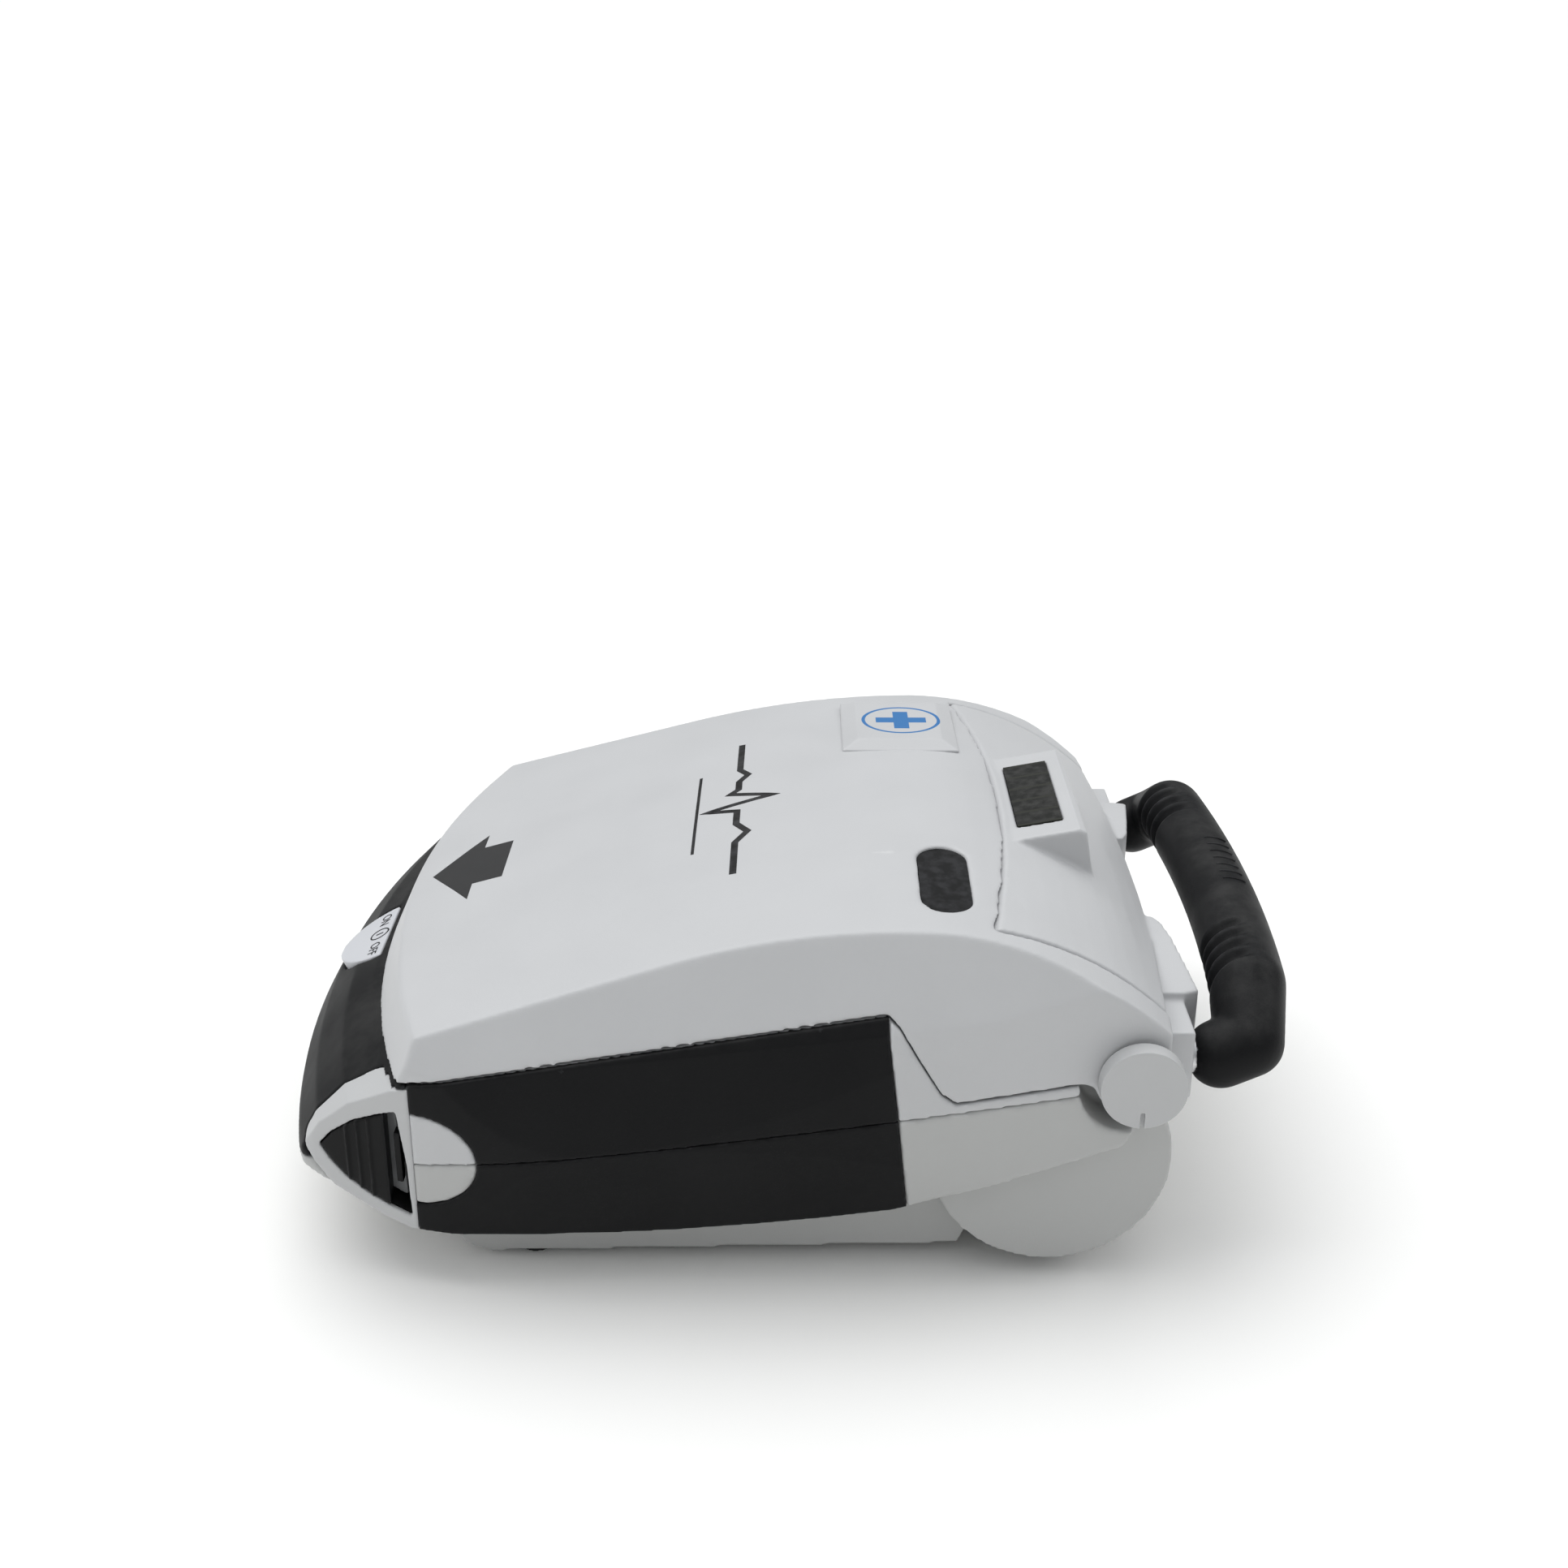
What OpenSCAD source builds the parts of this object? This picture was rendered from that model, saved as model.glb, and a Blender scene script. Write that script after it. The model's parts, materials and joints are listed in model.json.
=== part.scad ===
// Portable automated external defibrillator, lid closed, lying on its feet.
// +X is the user's right, -Y the nose with the release button, +Y the handle.
// Outlines are drawn as stations: u is the distance behind the nose tip and z the height,
// both at the nominal case size, and sp() scales them to the real case.

/* [Case] */
// Width of the case over its parting line
case_w = 203; // [169:1:244]
// Depth of the case from the nose tip to the back of the dome
case_d = 246; // [205:1:296]
// Height from the table to the crown of the lid
case_h = 106.5; // [96:0.5:128]
// Wall of both case halves
wall = 2.5; // [2:0.1:3]
// Thickness of the side panels, corner trims and front bumper
skin_t = 1.8; // [1.5:0.1:2.2]

/* [Lid] */
// Wall of the lid
lid_wall = 2.4; // [2:0.1:2.9]
// Thickness of the liner inside the lid
liner_t = 1.4; // [1.1:0.1:1.7]
// Gap between the lid and the case all round
lid_gap = 0.5; // [0.4:0.1:0.6]
// Radius of the hinge pins
pin_r = 3; // [2.5:0.1:3.6]
// Radius of the round caps over the hinge
cap_r = 11.2; // [9.3:0.1:12]
// How far the hinge caps stand out from the lid
cap_proud = 3; // [2.5:0.1:3.6]

/* [Lid window and badge] */
// Length of the smoked window across the lid
window_l = 35; // [29:1:42]
// Width of the smoked window
window_w = 13.5; // [11:0.5:16]
// Length of the raised badge across the lid
badge_l = 45; // [37:1:52]
// Width of the raised badge
badge_w = 36; // [30:1:42]

/* [Controls] */
// Half width of the release button
button_rx = 16; // [13.5:0.5:19]
// Reach of the release button in front of the lid
button_ry = 17; // [14.5:0.5:18.5]
// Travel of the release button
button_travel = 3; // [2.5:0.1:3.6]
// Radius of the shock button
shock_r = 13.5; // [11:0.5:14]
// Travel of the shock button
shock_travel = 2.5; // [2:0.1:3]
// Clearance round both buttons
button_gap = 0.4; // [0.3:0.05:0.5]

/* [Charger cartridge] */
// Length of the cartridge
cartridge_l = 52; // [44:1:62]
// Clearance of the cartridge end cap in its opening
cartridge_gap = 0.4; // [0.3:0.05:0.5]

/* [Display] */
// Width of the display window
lcd_w = 43; // [36:1:50]
// Length of the display window from front to back
lcd_l = 12; // [10:0.5:13]

/* [Handle] */
// Reach of the handle behind the dome
handle_reach = 36; // [32:1:43]
// Radius of the grip
grip_r = 10.5; // [9:0.5:12]
// Spacing of the handle arms from centre to centre
handle_w = 150; // [140:1:154]
// Radius of the steel core
core_r = 5; // [4.2:0.1:6]

/* [Inside] */
// Radius of the high-voltage capacitor
capacitor_r = 23; // [19.5:0.5:26]
// Length of the high-voltage capacitor
capacitor_l = 104; // [87:1:124]
// Width of the circuit board
board_w = 118; // [99:1:132]
// Length of the circuit board
board_l = 96; // [80:1:112]
// Thickness of the circuit board
board_t = 1.6; // [1.4:0.1:2]
// Radius of the speaker
speaker_r = 17; // [14:0.5:17.5]
// Length of the electrode packet from front to back
packet_l = 78; // [65:1:80]
// Width of the electrode packet
packet_w = 150; // [125:1:166]
// Radius of the rubber feet
foot_r = 5; // [4.2:0.1:6]
// Shank radius of the case screws
screw_r = 1.75; // [1.5:0.05:2.1]

/* [Hidden] */
$fn = 64;

light_grey = "#d3d6db";
mid_grey = "#b4b7b8";
black = "#232427";
steel = "#a8abad";

// Scale from the nominal case to the real one
sx = case_w / 203;
sy = case_d / 246;
sz = case_h / 106.5;
half_w = case_w / 2;
front_y = -(case_d + handle_reach) / 2;
far = 400;

function st(u) = front_y + u * sy;
function ht(z) = z * sz;
function sp(u, z) = [st(u), ht(z)];
function arc(cu, cz, r, a0, a1, n) =
    [for (i = [0 : n]) let (a = a0 + (a1 - a0) * i / n) sp(cu + r * cos(a), cz + r * sin(a))];
function shift(points, dy, dz) = [for (p = points) [p[0] + dy, p[1] + dz]];

// Parting line, deck line and hinge, in nominal stations
part_z = 32.1;
part_slope = 0.125;
part_a = atan(part_slope * sz / sy);
deck_u = 44.6;
deck_z = 61.8;
deck_slope = 0.1665;
deck_a = atan(deck_slope * sz / sy);
hinge = sp(234.3, 64.6);
function part_h(u) = ht(part_z + part_slope * u);
function deck_h(u) = ht(deck_z + deck_slope * (u - deck_u));

// Roof of the lid and dome: a straight front, a long arc to the crown, a short arc behind
crown_u = 180;
roof_top = 106.5;
roof_front = 59.565;
front_arc_r = 252;
front_arc_a = 15.9;
rear_arc_r = 88.8;
crown_drop = 4.5;
crown_half = 88 * sx;
crown_r = crown_half * crown_half / (2 * crown_drop);
function roof_points(o) = concat(
    [[st(-20), -far], sp(-20, roof_front - o)],
    arc(crown_u, roof_top - front_arc_r, front_arc_r - o, 90 + front_arc_a, 90, 9),
    arc(crown_u, roof_top - rear_arc_r, rear_arc_r - o, 88, 30, 15),
    [sp(257 - o, 40), [st(257 - o), -far]]);

// Plan outline: nose arc, tight corner, flanks widest at widest_u
nose_half = 82 * sx;
nose_bow = 10.8 * sy;
nose_r = (nose_half * nose_half + nose_bow * nose_bow) / (2 * nose_bow);
widest_u = 91;
function flank_x(u) = u < widest_u
    ? half_w - 13.5 * sx * pow((widest_u - u) / 75, 2)
    : half_w - 5.4 * sx * pow((u - widest_u) / 131, 2);
function nose_y(x) = front_y + nose_r - sqrt(nose_r * nose_r - x * x);
function half_plan(o) = concat(
    [for (x = [0 : 0.125 : 1]) [x * nose_half, nose_y(x * nose_half) + o]],
    [[86.2 * sx - o, st(13) + o], [flank_x(17) - o / 2, st(17) + o]],
    [for (u = [22 : 10 : 242]) [flank_x(u) - o, st(u)]],
    [[flank_x(242) - o, st(262)]]);
module plan_form(o) {
    points = half_plan(o);
    mirrored = [for (i = [len(points) - 1 : -1 : 1]) [-points[i][0], points[i][1]]];
    linear_extrude(height = far, center = true) polygon(concat(points, mirrored));
}

// Side-view outline pushed through the case, or through one side of it
module along_x(width = far) {
    rotate([90, 0, 90]) linear_extrude(height = width, center = true) children();
}
module on_side(side, x0, x1 = far) {
    mirror([side < 0 ? 1 : 0, 0, 0]) translate([x0, 0, 0])
        rotate([90, 0, 90]) linear_extrude(height = x1 - x0) children();
}
// Cross-section pushed along the parting line
module along_parting() {
    translate([0, st(0), part_h(0)]) rotate([part_a, 0, 0])
        rotate([90, 0, 0]) linear_extrude(height = 2 * far, center = true) children();
}
module above_parting(gap = 0) {
    along_x() polygon([[-far, part_h(0) + gap + (-far - st(0)) * tan(part_a)],
        [far, part_h(0) + gap + (far - st(0)) * tan(part_a)], [far, far], [-far, far]]);
}
module below_parting(gap = 0) {
    along_x() polygon([[-far, part_h(0) - gap + (-far - st(0)) * tan(part_a)],
        [far, part_h(0) - gap + (far - st(0)) * tan(part_a)], [far, -far], [-far, -far]]);
}
module roof_form(o) {
    intersection_for (a = [-4 : 2 : 4])
        translate([0, 0, case_h - crown_r]) rotate([0, a, 0]) translate([0, 0, crown_r - case_h])
            along_x() polygon(roof_points(o));
}

// Flanks leaning in above and below the parting line
module draft_form(o) {
    along_parting() polygon([
        [-half_w + 7 + o, ht(-45)], [half_w - 7 - o, ht(-45)], [half_w - o, 0],
        [half_w - 3.4 - o, ht(25)], [half_w - 14 - o, ht(47.5)], [half_w - 20 - o, ht(60)],
        [-half_w + 20 + o, ht(60)], [-half_w + 14 + o, ht(47.5)], [-half_w + 3.4 + o, ht(25)],
        [-half_w + o, 0]]);
}
// Nose turned about an upright axis far behind it
module nose_form(o) {
    r0 = nose_r - o;
    translate([0, front_y + nose_r, 0]) rotate_extrude($fn = 360) polygon([
        [0, ht(13) + o], [r0 - 34 * sy, ht(14.5) + o], [r0 - 21 * sy, ht(20) + o],
        [r0 - 9 * sy, ht(27) + o], [r0 - 1.5 * sy, ht(31)], [r0, ht(33)], [r0 - 1 * sy, ht(37)],
        [r0 - 6 * sy, ht(46)], [r0 - 14 * sy, ht(54) - o / 2], [r0 - 24 * sy, ht(59.5) - o],
        [r0 - 40 * sy, ht(70)], [r0 - 40 * sy, far], [0, far]]);
}
belly_r = 640;
module flank_form(o) {
    along_x() polygon(concat(
        shift(arc(71, 656.9, belly_r, 264, 279, 9), 0, o),
        [[st(231) - o, ht(43.5) + o], [st(236) - o, ht(52)], [st(236) - o, ht(64) - o],
         [st(200), ht(72) - o], [st(180), deck_h(180) - o], [st(-10), deck_h(-10) - o]]));
}
// The wide middle of the case: s is the inset of its flanks and nose, o of its deck and belly
module wide_form(s, o) {
    intersection() {
        plan_form(s);
        draft_form(s);
        nose_form(s);
        flank_form(o);
    }
}

base_half = 84 * sx;
module base_form(o) {
    along_x(2 * (base_half - o)) polygon(concat(
        [[st(48) + o, ht(30)], [st(51.7) + o, ht(8.1)], [st(55.5) + o, ht(3.6) + o]],
        [[st(62) + o, 1.5 + o], [st(190), ht(5) + o]],
        [sp(200, 30)]));
}
drum = sp(213, 38);
drum_r = 32 * min(sy, sz);
drum_half = 92 * sx;
module drum_form(o) {
    translate([0, drum[0], drum[1]]) rotate([0, 90, 0])
        cylinder(r = drum_r - o, h = 2 * (drum_half - o), center = true);
}

// The dome behind the lid, between the lid arms
arm_x = 83 * sx;
seam_bow = 4.8;
seam_r = (arm_x * arm_x + seam_bow * seam_bow) / (2 * seam_bow);
seam_u = 203.8;
seam_slope = 1.5;
module seam_cone(o) {
    low = ht(40);
    high = ht(130);
    seam_h = ht(102.5);
    translate([0, st(seam_u) - seam_r, low]) cylinder(h = high - low, $fn = 360,
        r1 = seam_r + o + (low - seam_h) * seam_slope, r2 = seam_r + o + (high - seam_h) * seam_slope);
}
module dome_form(o) {
    difference() {
        intersection() {
            roof_form(o);
            translate([-arm_x + lid_gap / 2 + o, st(150), ht(36)])
                cube([2 * (arm_x - lid_gap / 2 - o), far, far]);
            rear_form(o);
        }
        seam_cone(lid_gap * 1.5 + o);
    }
}
// Rear wall, bowed slightly in plan
rear_bow = 4;
rear_r = (arm_x * arm_x + rear_bow * rear_bow) / (2 * rear_bow);
module rear_form(o) {
    translate([0, st(246) - rear_r, 0]) cylinder(r = rear_r - o, h = far, center = true, $fn = 360);
}

// Space that the lid arms and their bosses turn in
boss_r = cap_r + 0.8;
cutout = [[168.9, 82.5], [172, 79.9], [182.9, 61.3], [186.7, 58.4], [219.2, 63], [224, 61]];
module arm_space(o) {
    for (side = [-1, 1]) {
        on_side(side, arm_x - lid_gap / 2 - o) polygon(concat(
            [for (p = cutout) sp(p[0], p[1]) - [o, lid_gap + o]],
            [[hinge[0], ht(61) - lid_gap - o], [far, ht(61)], [far, far], [st(168.9) - o, far]]));
        mirror([side < 0 ? 1 : 0, 0, 0]) translate([arm_x - lid_gap / 2 - o, hinge[0], hinge[1]])
            rotate([0, 90, 0]) {
                cylinder(r = boss_r + 1 + o, h = far);
                // deeper recess below and in front of the boss
                translate([3, -2.5, 0]) cylinder(r = boss_r + 1 + o, h = far);
            }
    }
}

// Whole case without its skins
module case_form(o) {
    difference() {
        union() {
            wide_form(skin_t + o, o);
            base_form(o);
            drum_form(o);
            dome_form(o);
            difference() {
                dome_block(o);
                seam_cone(lid_gap * 1.5 + o);
            }
        }
        arm_space(o);
    }
}
// Straight block under the dome, down to the middle of the drum
module dome_block(o) {
    intersection() {
        translate([-arm_x + lid_gap / 2 + o, drum[0] - 8, drum[1]])
            cube([2 * (arm_x - lid_gap / 2 - o), far, ht(30)]);
        rear_form(o);
        roof_form(o);
    }
}

// Skin layer outside the wide middle
module skin_layer(upper) {
    difference() {
        wide_form(0, 0);
        wide_form(skin_t, -wall);
        if (upper) below_parting(-0.05);
        else above_parting(-0.05);
    }
}
seam = 0.15;
panel_u = 45;
thumb = sp(panel_u, 39.5);
thumb_ry = 17;
thumb_rz = 13.5;
module thumb_outline(o) {
    translate(thumb) scale([thumb_ry + o, thumb_rz + o]) circle(r = 1, $fn = 48);
}
module panel_outline(o) {
    polygon([sp(panel_u, 0) + [o, 0], sp(panel_u, 110) + [o, 0], sp(168.5, 110) - [o, 0],
        sp(169.5, 76.4) - [o, 0], sp(172.3, 52.5) - [o, 0], sp(175, 26.7) - [o, 0], sp(177, 0) - [o, 0]]);
}
module side_panel(side, upper) {
    color(black) difference() {
        intersection() {
            skin_layer(upper);
            on_side(side, half_w / 2) panel_outline(seam);
        }
        on_side(side, half_w / 2) thumb_outline(seam);
    }
}
// Grey skin that the case halves carry themselves
module case_skin(upper) {
    difference() {
        case_skin_blocks(upper);
        arm_space(0);
    }
}
module case_skin_blocks(upper) {
    for (side = [-1, 1]) intersection() {
        skin_layer(upper);
        union() {
            on_side(side, half_w / 2) difference() {
                polygon([sp(166, 0), sp(166, 110), sp(240, 110), sp(240, 0)]);
                panel_outline(0);
            }
            on_side(side, half_w / 2) intersection() {
                thumb_outline(0);
                translate([st(panel_u), 0]) square(60);
            }
        }
    }
}

// Corner trims with a sail-shaped opening
trim_x = 82 * sx;
rim = [[14.1, 40], [15, 45.6], [22.6, 53.1], [29.3, 57.1], [36, 59.1], [panel_u, 60.5], [panel_u, 13],
    [41, 15.8], [34.6, 18.9], [26.3, 23.2], [20.3, 28.9], [16.5, 33.7], [14.6, 37]];
sail = [[18.5, 39.4], [22.2, 43.9], [29, 48.9], [35.6, 51.7], [41.2, 53.5], [43, 37.7],
    [43.6, 21.2], [37.5, 23.6], [31.3, 26.9], [25.2, 31], [21.3, 35.1]];
module rim_outline() {
    polygon([for (p = rim) sp(p[0], p[1])]);
}
module sail_outline(o) {
    offset(delta = o) polygon([for (p = sail) sp(p[0], p[1])]);
}
module corner_trim(side) {
    color(light_grey) difference() {
        intersection() {
            union() {
                skin_layer(true);
                skin_layer(false);
                intersection() {
                    wide_form(0, 0);
                    difference() {
                        wide_form(0, -wall);
                        wide_form(skin_t, -wall);
                    }
                }
            }
            on_side(side, trim_x) rim_outline();
        }
        on_side(side, half_w / 3) sail_outline(0);
    }
}

front_u = 23.5;
button_at = sp(19.3, 56.7);
button_a = 26;
module button_frame() {
    translate([0, button_at[0], button_at[1]]) rotate([button_a, 0, 0]) children();
}
button_back = 2.4;
module button_outline(o) {
    intersection() {
        translate([0, button_back]) scale([button_rx + o, button_ry + o]) circle(r = 1, $fn = 64);
        translate([-far / 2, button_back - far + o]) square(far);
    }
}
module nose_block() {
    along_x() polygon([sp(-5, 0), sp(panel_u, 0) - [seam, 0], sp(panel_u, 110) - [seam, 0], sp(-5, 110)]);
}
module front_bumper() {
    color(black) difference() {
        intersection() {
            skin_layer(true);
            nose_block();
        }
        for (side = [-1, 1]) on_side(side, trim_x - seam) offset(delta = seam) rim_outline();
        button_frame() linear_extrude(height = 40, center = true) button_outline(button_gap);
    }
}

// Places on the deck under the lid, tilted with it
module on_deck(x, u) {
    translate([x, st(u), deck_h(u)]) rotate([deck_a, 0, 0]) children();
}
shock_at = [56 * sx, 150];
speaker_at = [-54 * sx, 149];
socket_at = [2 * sx, 157];
socket_w = 30;
socket_l = 16;
hook_u = 31;
hook_w = 14;
slot_gap = 1;
hook_t = 2.4;
hook_lip = 1.2;
cup_t = 1.6;
cup_depth = 17;
packet_u = 89;
speaker_depth = 15;
shock_depth = 13;
bezel_r = shock_r + button_gap + 1.25;

screw_spots = [[70, 66], [70, 118], [70, 176]];
boss_w = 4.2;
module at_screws() {
    for (side = [-1, 1], spot = screw_spots) translate([side * spot[0] * sx, st(spot[1]), 0]) children();
}
foot_spots = [[77, 73.5], [77, 214]];
module at_feet() {
    for (side = [-1, 1], spot = foot_spots) translate([side * spot[0] * sx, st(spot[1]), 0]) children();
}
gasket_t = 1.2;
module gasket_loop(o) {
    intersection() {
        difference() {
            case_form(0.8 - o);
            case_form(1.7 + o);
        }
        above_parting(-gasket_t / 2 - o);
        below_parting(-gasket_t / 2 - o);
    }
}

bay_x = half_w - skin_t - cartridge_l - 8;
bay_t = 1.4;
module bay_space(o) {
    on_side(1, bay_x - o) sail_outline(bay_t + o);
}

display_at = sp(214.7, 103.9);
display_a = 10.7;
module display_frame() {
    translate([0, display_at[0], display_at[1]]) rotate([display_a, 0, 0]) children();
}
housing_half = lcd_w / 2 + 9;
module display_housing(o) {
    along_x(2 * (housing_half - o)) polygon([
        sp(203, 88), sp(206, 102) + [o, -o], sp(225, 105.6) - [0, o], sp(227, 104.6) - [o, o],
        sp(229.5, 90) - [o, 0], sp(229, 84)]);
}

lcd_t = 4;
lens_t = 1.2;
// Handle arms, their sockets on the dome and the lugs beside them
arm_r = 8.5;
arm_z = ht(60);
arm_x0 = handle_w / 2;
arm_root = st(250.5);
grip_y = front_y + case_d + handle_reach - grip_r;
grip_z = ht(72);
core_root = st(240.8);
lug_in = 27 * sx;
socket_half = 10;
module lug(side) {
    mirror([side < 0 ? 1 : 0, 0, 0]) {
        intersection() {
            linear_extrude(height = far) polygon([[lug_in, st(240)], [lug_in, st(247.5)],
                [lug_in + 4, st(249.5)], [arm_x0 - socket_half - 1.5, st(254.5)],
                [arm_x0 - socket_half, st(250.5)], [arm_x0 - socket_half, st(236)]]);
            translate([0, st(280), 0]) rotate([90, 0, 0]) linear_extrude(height = 60 * sy)
                polygon([[lug_in - 1, ht(63)], [lug_in - 1, ht(77)], [lug_in + 14, ht(77)],
                    [arm_x0, ht(71)], [arm_x0, arm_z - 9], [lug_in + 25, arm_z - 6]]);
        }
        translate([arm_x0 - socket_half - 0.1, st(238), arm_z - 9.5])
            cube([arm_x - arm_x0 + socket_half - lid_gap, arm_root - st(238), 20]);
    }
}
module at_handle_screws() {
    for (side = [-1, 1]) translate([side * arm_x0, (core_root + arm_root) / 2 + 1.5, arm_z]) children();
}

hinge_post_r = pin_r + 4;
hinge_post_l = 14;
module at_hinge(side, x) {
    mirror([side < 0 ? 1 : 0, 0, 0]) translate([x, hinge[0], hinge[1]]) rotate([0, 90, 0]) children();
}

module upper_case() {
    color(light_grey) difference() {
        union() {
            intersection() {
                difference() {
                    union() {
                        case_form(0);
                        display_housing(0);
                    }
                    case_form(wall);
                    display_housing(wall);
                }
                above_parting();
            }
            case_skin(true);
            for (side = [-1, 1]) difference() {
                lug(side);
                case_form(0);
            }
            // Cup behind the release button
            intersection() {
                button_frame() translate([0, 0, -cup_depth]) linear_extrude(height = cup_depth + 20)
                    button_outline(button_gap + cup_t);
                case_form(wall - 0.01);
            }
            intersection() {
                at_screws() translate([0, 0, 5]) cylinder(r = boss_w, h = far);
                case_form(wall - 0.01);
                above_parting();
            }
            for (side = [-1, 1]) at_hinge(side, arm_x - hinge_post_l)
                cylinder(r = hinge_post_r, h = hinge_post_l - lid_gap / 2);
            intersection() {
                on_deck(shock_at[0], shock_at[1]) translate([0, 0, -shock_depth - wall])
                    cylinder(r = shock_r + button_gap + 2.8, h = shock_depth + wall);
                case_form(0.5);
            }
        }
        button_frame() translate([0, 0, -cup_depth + cup_t]) linear_extrude(height = far)
            button_outline(button_gap);
        catch_space(slot_gap);
        hook_space(slot_gap);
        on_deck(shock_at[0], shock_at[1]) translate([0, 0, -shock_depth])
            cylinder(r = bezel_r + 0.05, h = far);
        on_deck(speaker_at[0], speaker_at[1]) grille_slots();
        on_deck(socket_at[0], socket_at[1]) cube([socket_w, socket_l, 4 * wall], center = true);
        at_screws() cylinder(r = screw_r + 0.02, h = part_h(118) + 14);
        for (side = [-1, 1]) at_hinge(side, arm_x - hinge_post_l - 1) cylinder(r = pin_r, h = far);
        display_frame() translate([0, 0, -lcd_t]) linear_extrude(height = 20)
            square([lcd_w + 1, lcd_l + 1], center = true);
        display_frame() translate([0, 0, -lcd_t - 8]) linear_extrude(height = 8.01)
            square([lcd_w - 6, lcd_l - 4], center = true);
        gasket_loop(0.02);
        bay_space(0.1);
        port_space();
        at_handle_screws() translate([0, 0, -20]) cylinder(r = screw_r + 0.3, h = 20);
        handle_space();
        lid_seal_groove();
    }
}
module catch_space(o) {
    button_frame() translate([-10 - o, button_back - 4, -13.5 - button_travel - o])
        cube([20 + 2 * o, 7 + o + button_travel / 2, 5 + button_travel + 2 * o]);
}
module hook_space(o) {
    translate([-hook_w / 2 - o, st(hook_u) - hook_lip - o, ht(46) - o])
        cube([hook_w + 2 * o, hook_t + hook_lip + 2 * o, far]);
}
grille_pitch = 5;
grille_w = 2.2;
module grille_slots() {
    rows = floor((speaker_r - 4) / grille_pitch);
    for (i = [-rows : rows]) {
        half = sqrt(pow(speaker_r - 2, 2) - pow(i * grille_pitch, 2));
        translate([-half, i * grille_pitch - grille_w / 2, -4 * wall]) cube([2 * half, grille_w, 8 * wall]);
    }
}
port_in = 1.5;
module port_space() {
    on_side(-1, half_w / 2) sail_outline(-port_in + 0.1);
}
module handle_space() {
    for (side = [-1, 1]) translate([side * arm_x0, core_root, arm_z]) rotate([-90, 0, 0])
        cylinder(r = core_r + 0.02, h = 60);
}

module lower_case() {
    color(light_grey) difference() {
        union() {
            intersection() {
                difference() {
                    case_form(0);
                    case_form(wall);
                }
                below_parting();
            }
            case_skin(false);
            // Nose below the parting line
            difference() {
                intersection() {
                    skin_layer(false);
                    nose_block();
                }
                for (side = [-1, 1]) on_side(side, trim_x - seam) offset(delta = seam) rim_outline();
            }
            intersection() {
                at_screws() cylinder(r = boss_w, h = far);
                case_form(wall - 0.01);
                below_parting();
            }
            intersection() {
                at_board_posts() cylinder(r = 3.4, h = board_z - 1);
                case_form(wall - 0.01);
            }
        }
        at_screws() cylinder(r = screw_r + 0.4, h = far);
        at_screws() translate([0, 0, -1]) cylinder(r = head_r + 0.3, h = head_z + 1);
        at_board_posts() translate([0, 0, 8]) cylinder(r = 1.3, h = far);
        at_feet() foot_seat(0.02);
        gasket_loop(0.02);
        bay_space(0.1);
        port_space();
        for (side = [-1, 1]) at_hinge(side, arm_x - hinge_post_l - 1)
            cylinder(r = hinge_post_r + 0.3, h = hinge_post_l + 1.3);
        handle_space();
    }
}
head_r = 3.4;
head_z = ht(8);
screw_l = part_h(90) + 2;
module case_screws() {
    color(steel) at_screws() {
        translate([0, 0, head_z - 2.4]) difference() {
            cylinder(r = head_r, h = 2.4);
            translate([0, 0, -1]) cylinder(r = 1.6, h = 2.2, $fn = 6);
        }
        translate([0, 0, head_z]) cylinder(r = screw_r, h = screw_l);
    }
}
foot_inside = 2;
module foot_seat(o) {
    cylinder(r = foot_r + o, h = max(ht(6), 1.5) + foot_inside + 2 * o);
}
module rubber_feet() {
    color(black) at_feet() foot_seat(0);
}
module case_gasket() {
    color(black) difference() {
        gasket_loop(0);
        bay_space(0.12);
        handle_space();
        for (side = [-1, 1]) {
            on_side(side, half_w / 3) sail_outline(0);
            at_hinge(side, arm_x - hinge_post_l) cylinder(r = hinge_post_r + 0.3, h = far);
        }
    }
}

// Board on posts in the lower case
board_z = ht(24);
board_u = 126;
module at_board_posts() {
    for (x = [-1, 1], y = [-1, 1])
        translate([x * (board_w / 2 - 5), st(board_u) + y * (board_l / 2 - 5), 0]) children();
}
module main_board() {
    color("darkgreen") difference() {
        translate([-board_w / 2, st(board_u) - board_l / 2, board_z - 1]) cube([board_w, board_l, board_t]);
        at_board_posts() cylinder(r = 1.7, h = far);
    }
}
on_board = board_z - 1 + board_t;
module board_screws() {
    color(steel) at_board_posts() {
        translate([0, 0, on_board]) cylinder(r = 2.6, h = 1.8);
        translate([0, 0, on_board - 8]) cylinder(r = 1.25, h = 8.01);
    }
}
module processor_chips() {
    color(black) {
        translate([-8, st(board_u) + 20, on_board]) cube([16, 16, 1.6]);
        translate([-34, st(board_u) + 22, on_board]) cube([12, 9, 1.4]);
        translate([-32, st(board_u) - 2, on_board]) cube([14, 7, 1.6]);
        translate([14, st(board_u) + 24, on_board]) cube([9, 9, 1.4]);
    }
}
module transformer() {
    color("goldenrod") translate([28, st(board_u) - 12, on_board]) {
        cube([26, 22, 4]);
        translate([3, 1, 4]) cube([20, 20, 13]);
        translate([0, 0, 17]) cube([26, 22, 3]);
    }
}
module inductor() {
    color("peru") translate([38, st(board_u) + 28, on_board]) difference() {
        cylinder(r = 9, h = 9);
        translate([0, 0, -1]) cylinder(r = 3.6, h = 11);
    }
}
module relay() {
    color("dodgerblue") translate([-52, st(board_u) - 34, on_board]) cube([28, 13, 15]);
}
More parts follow.
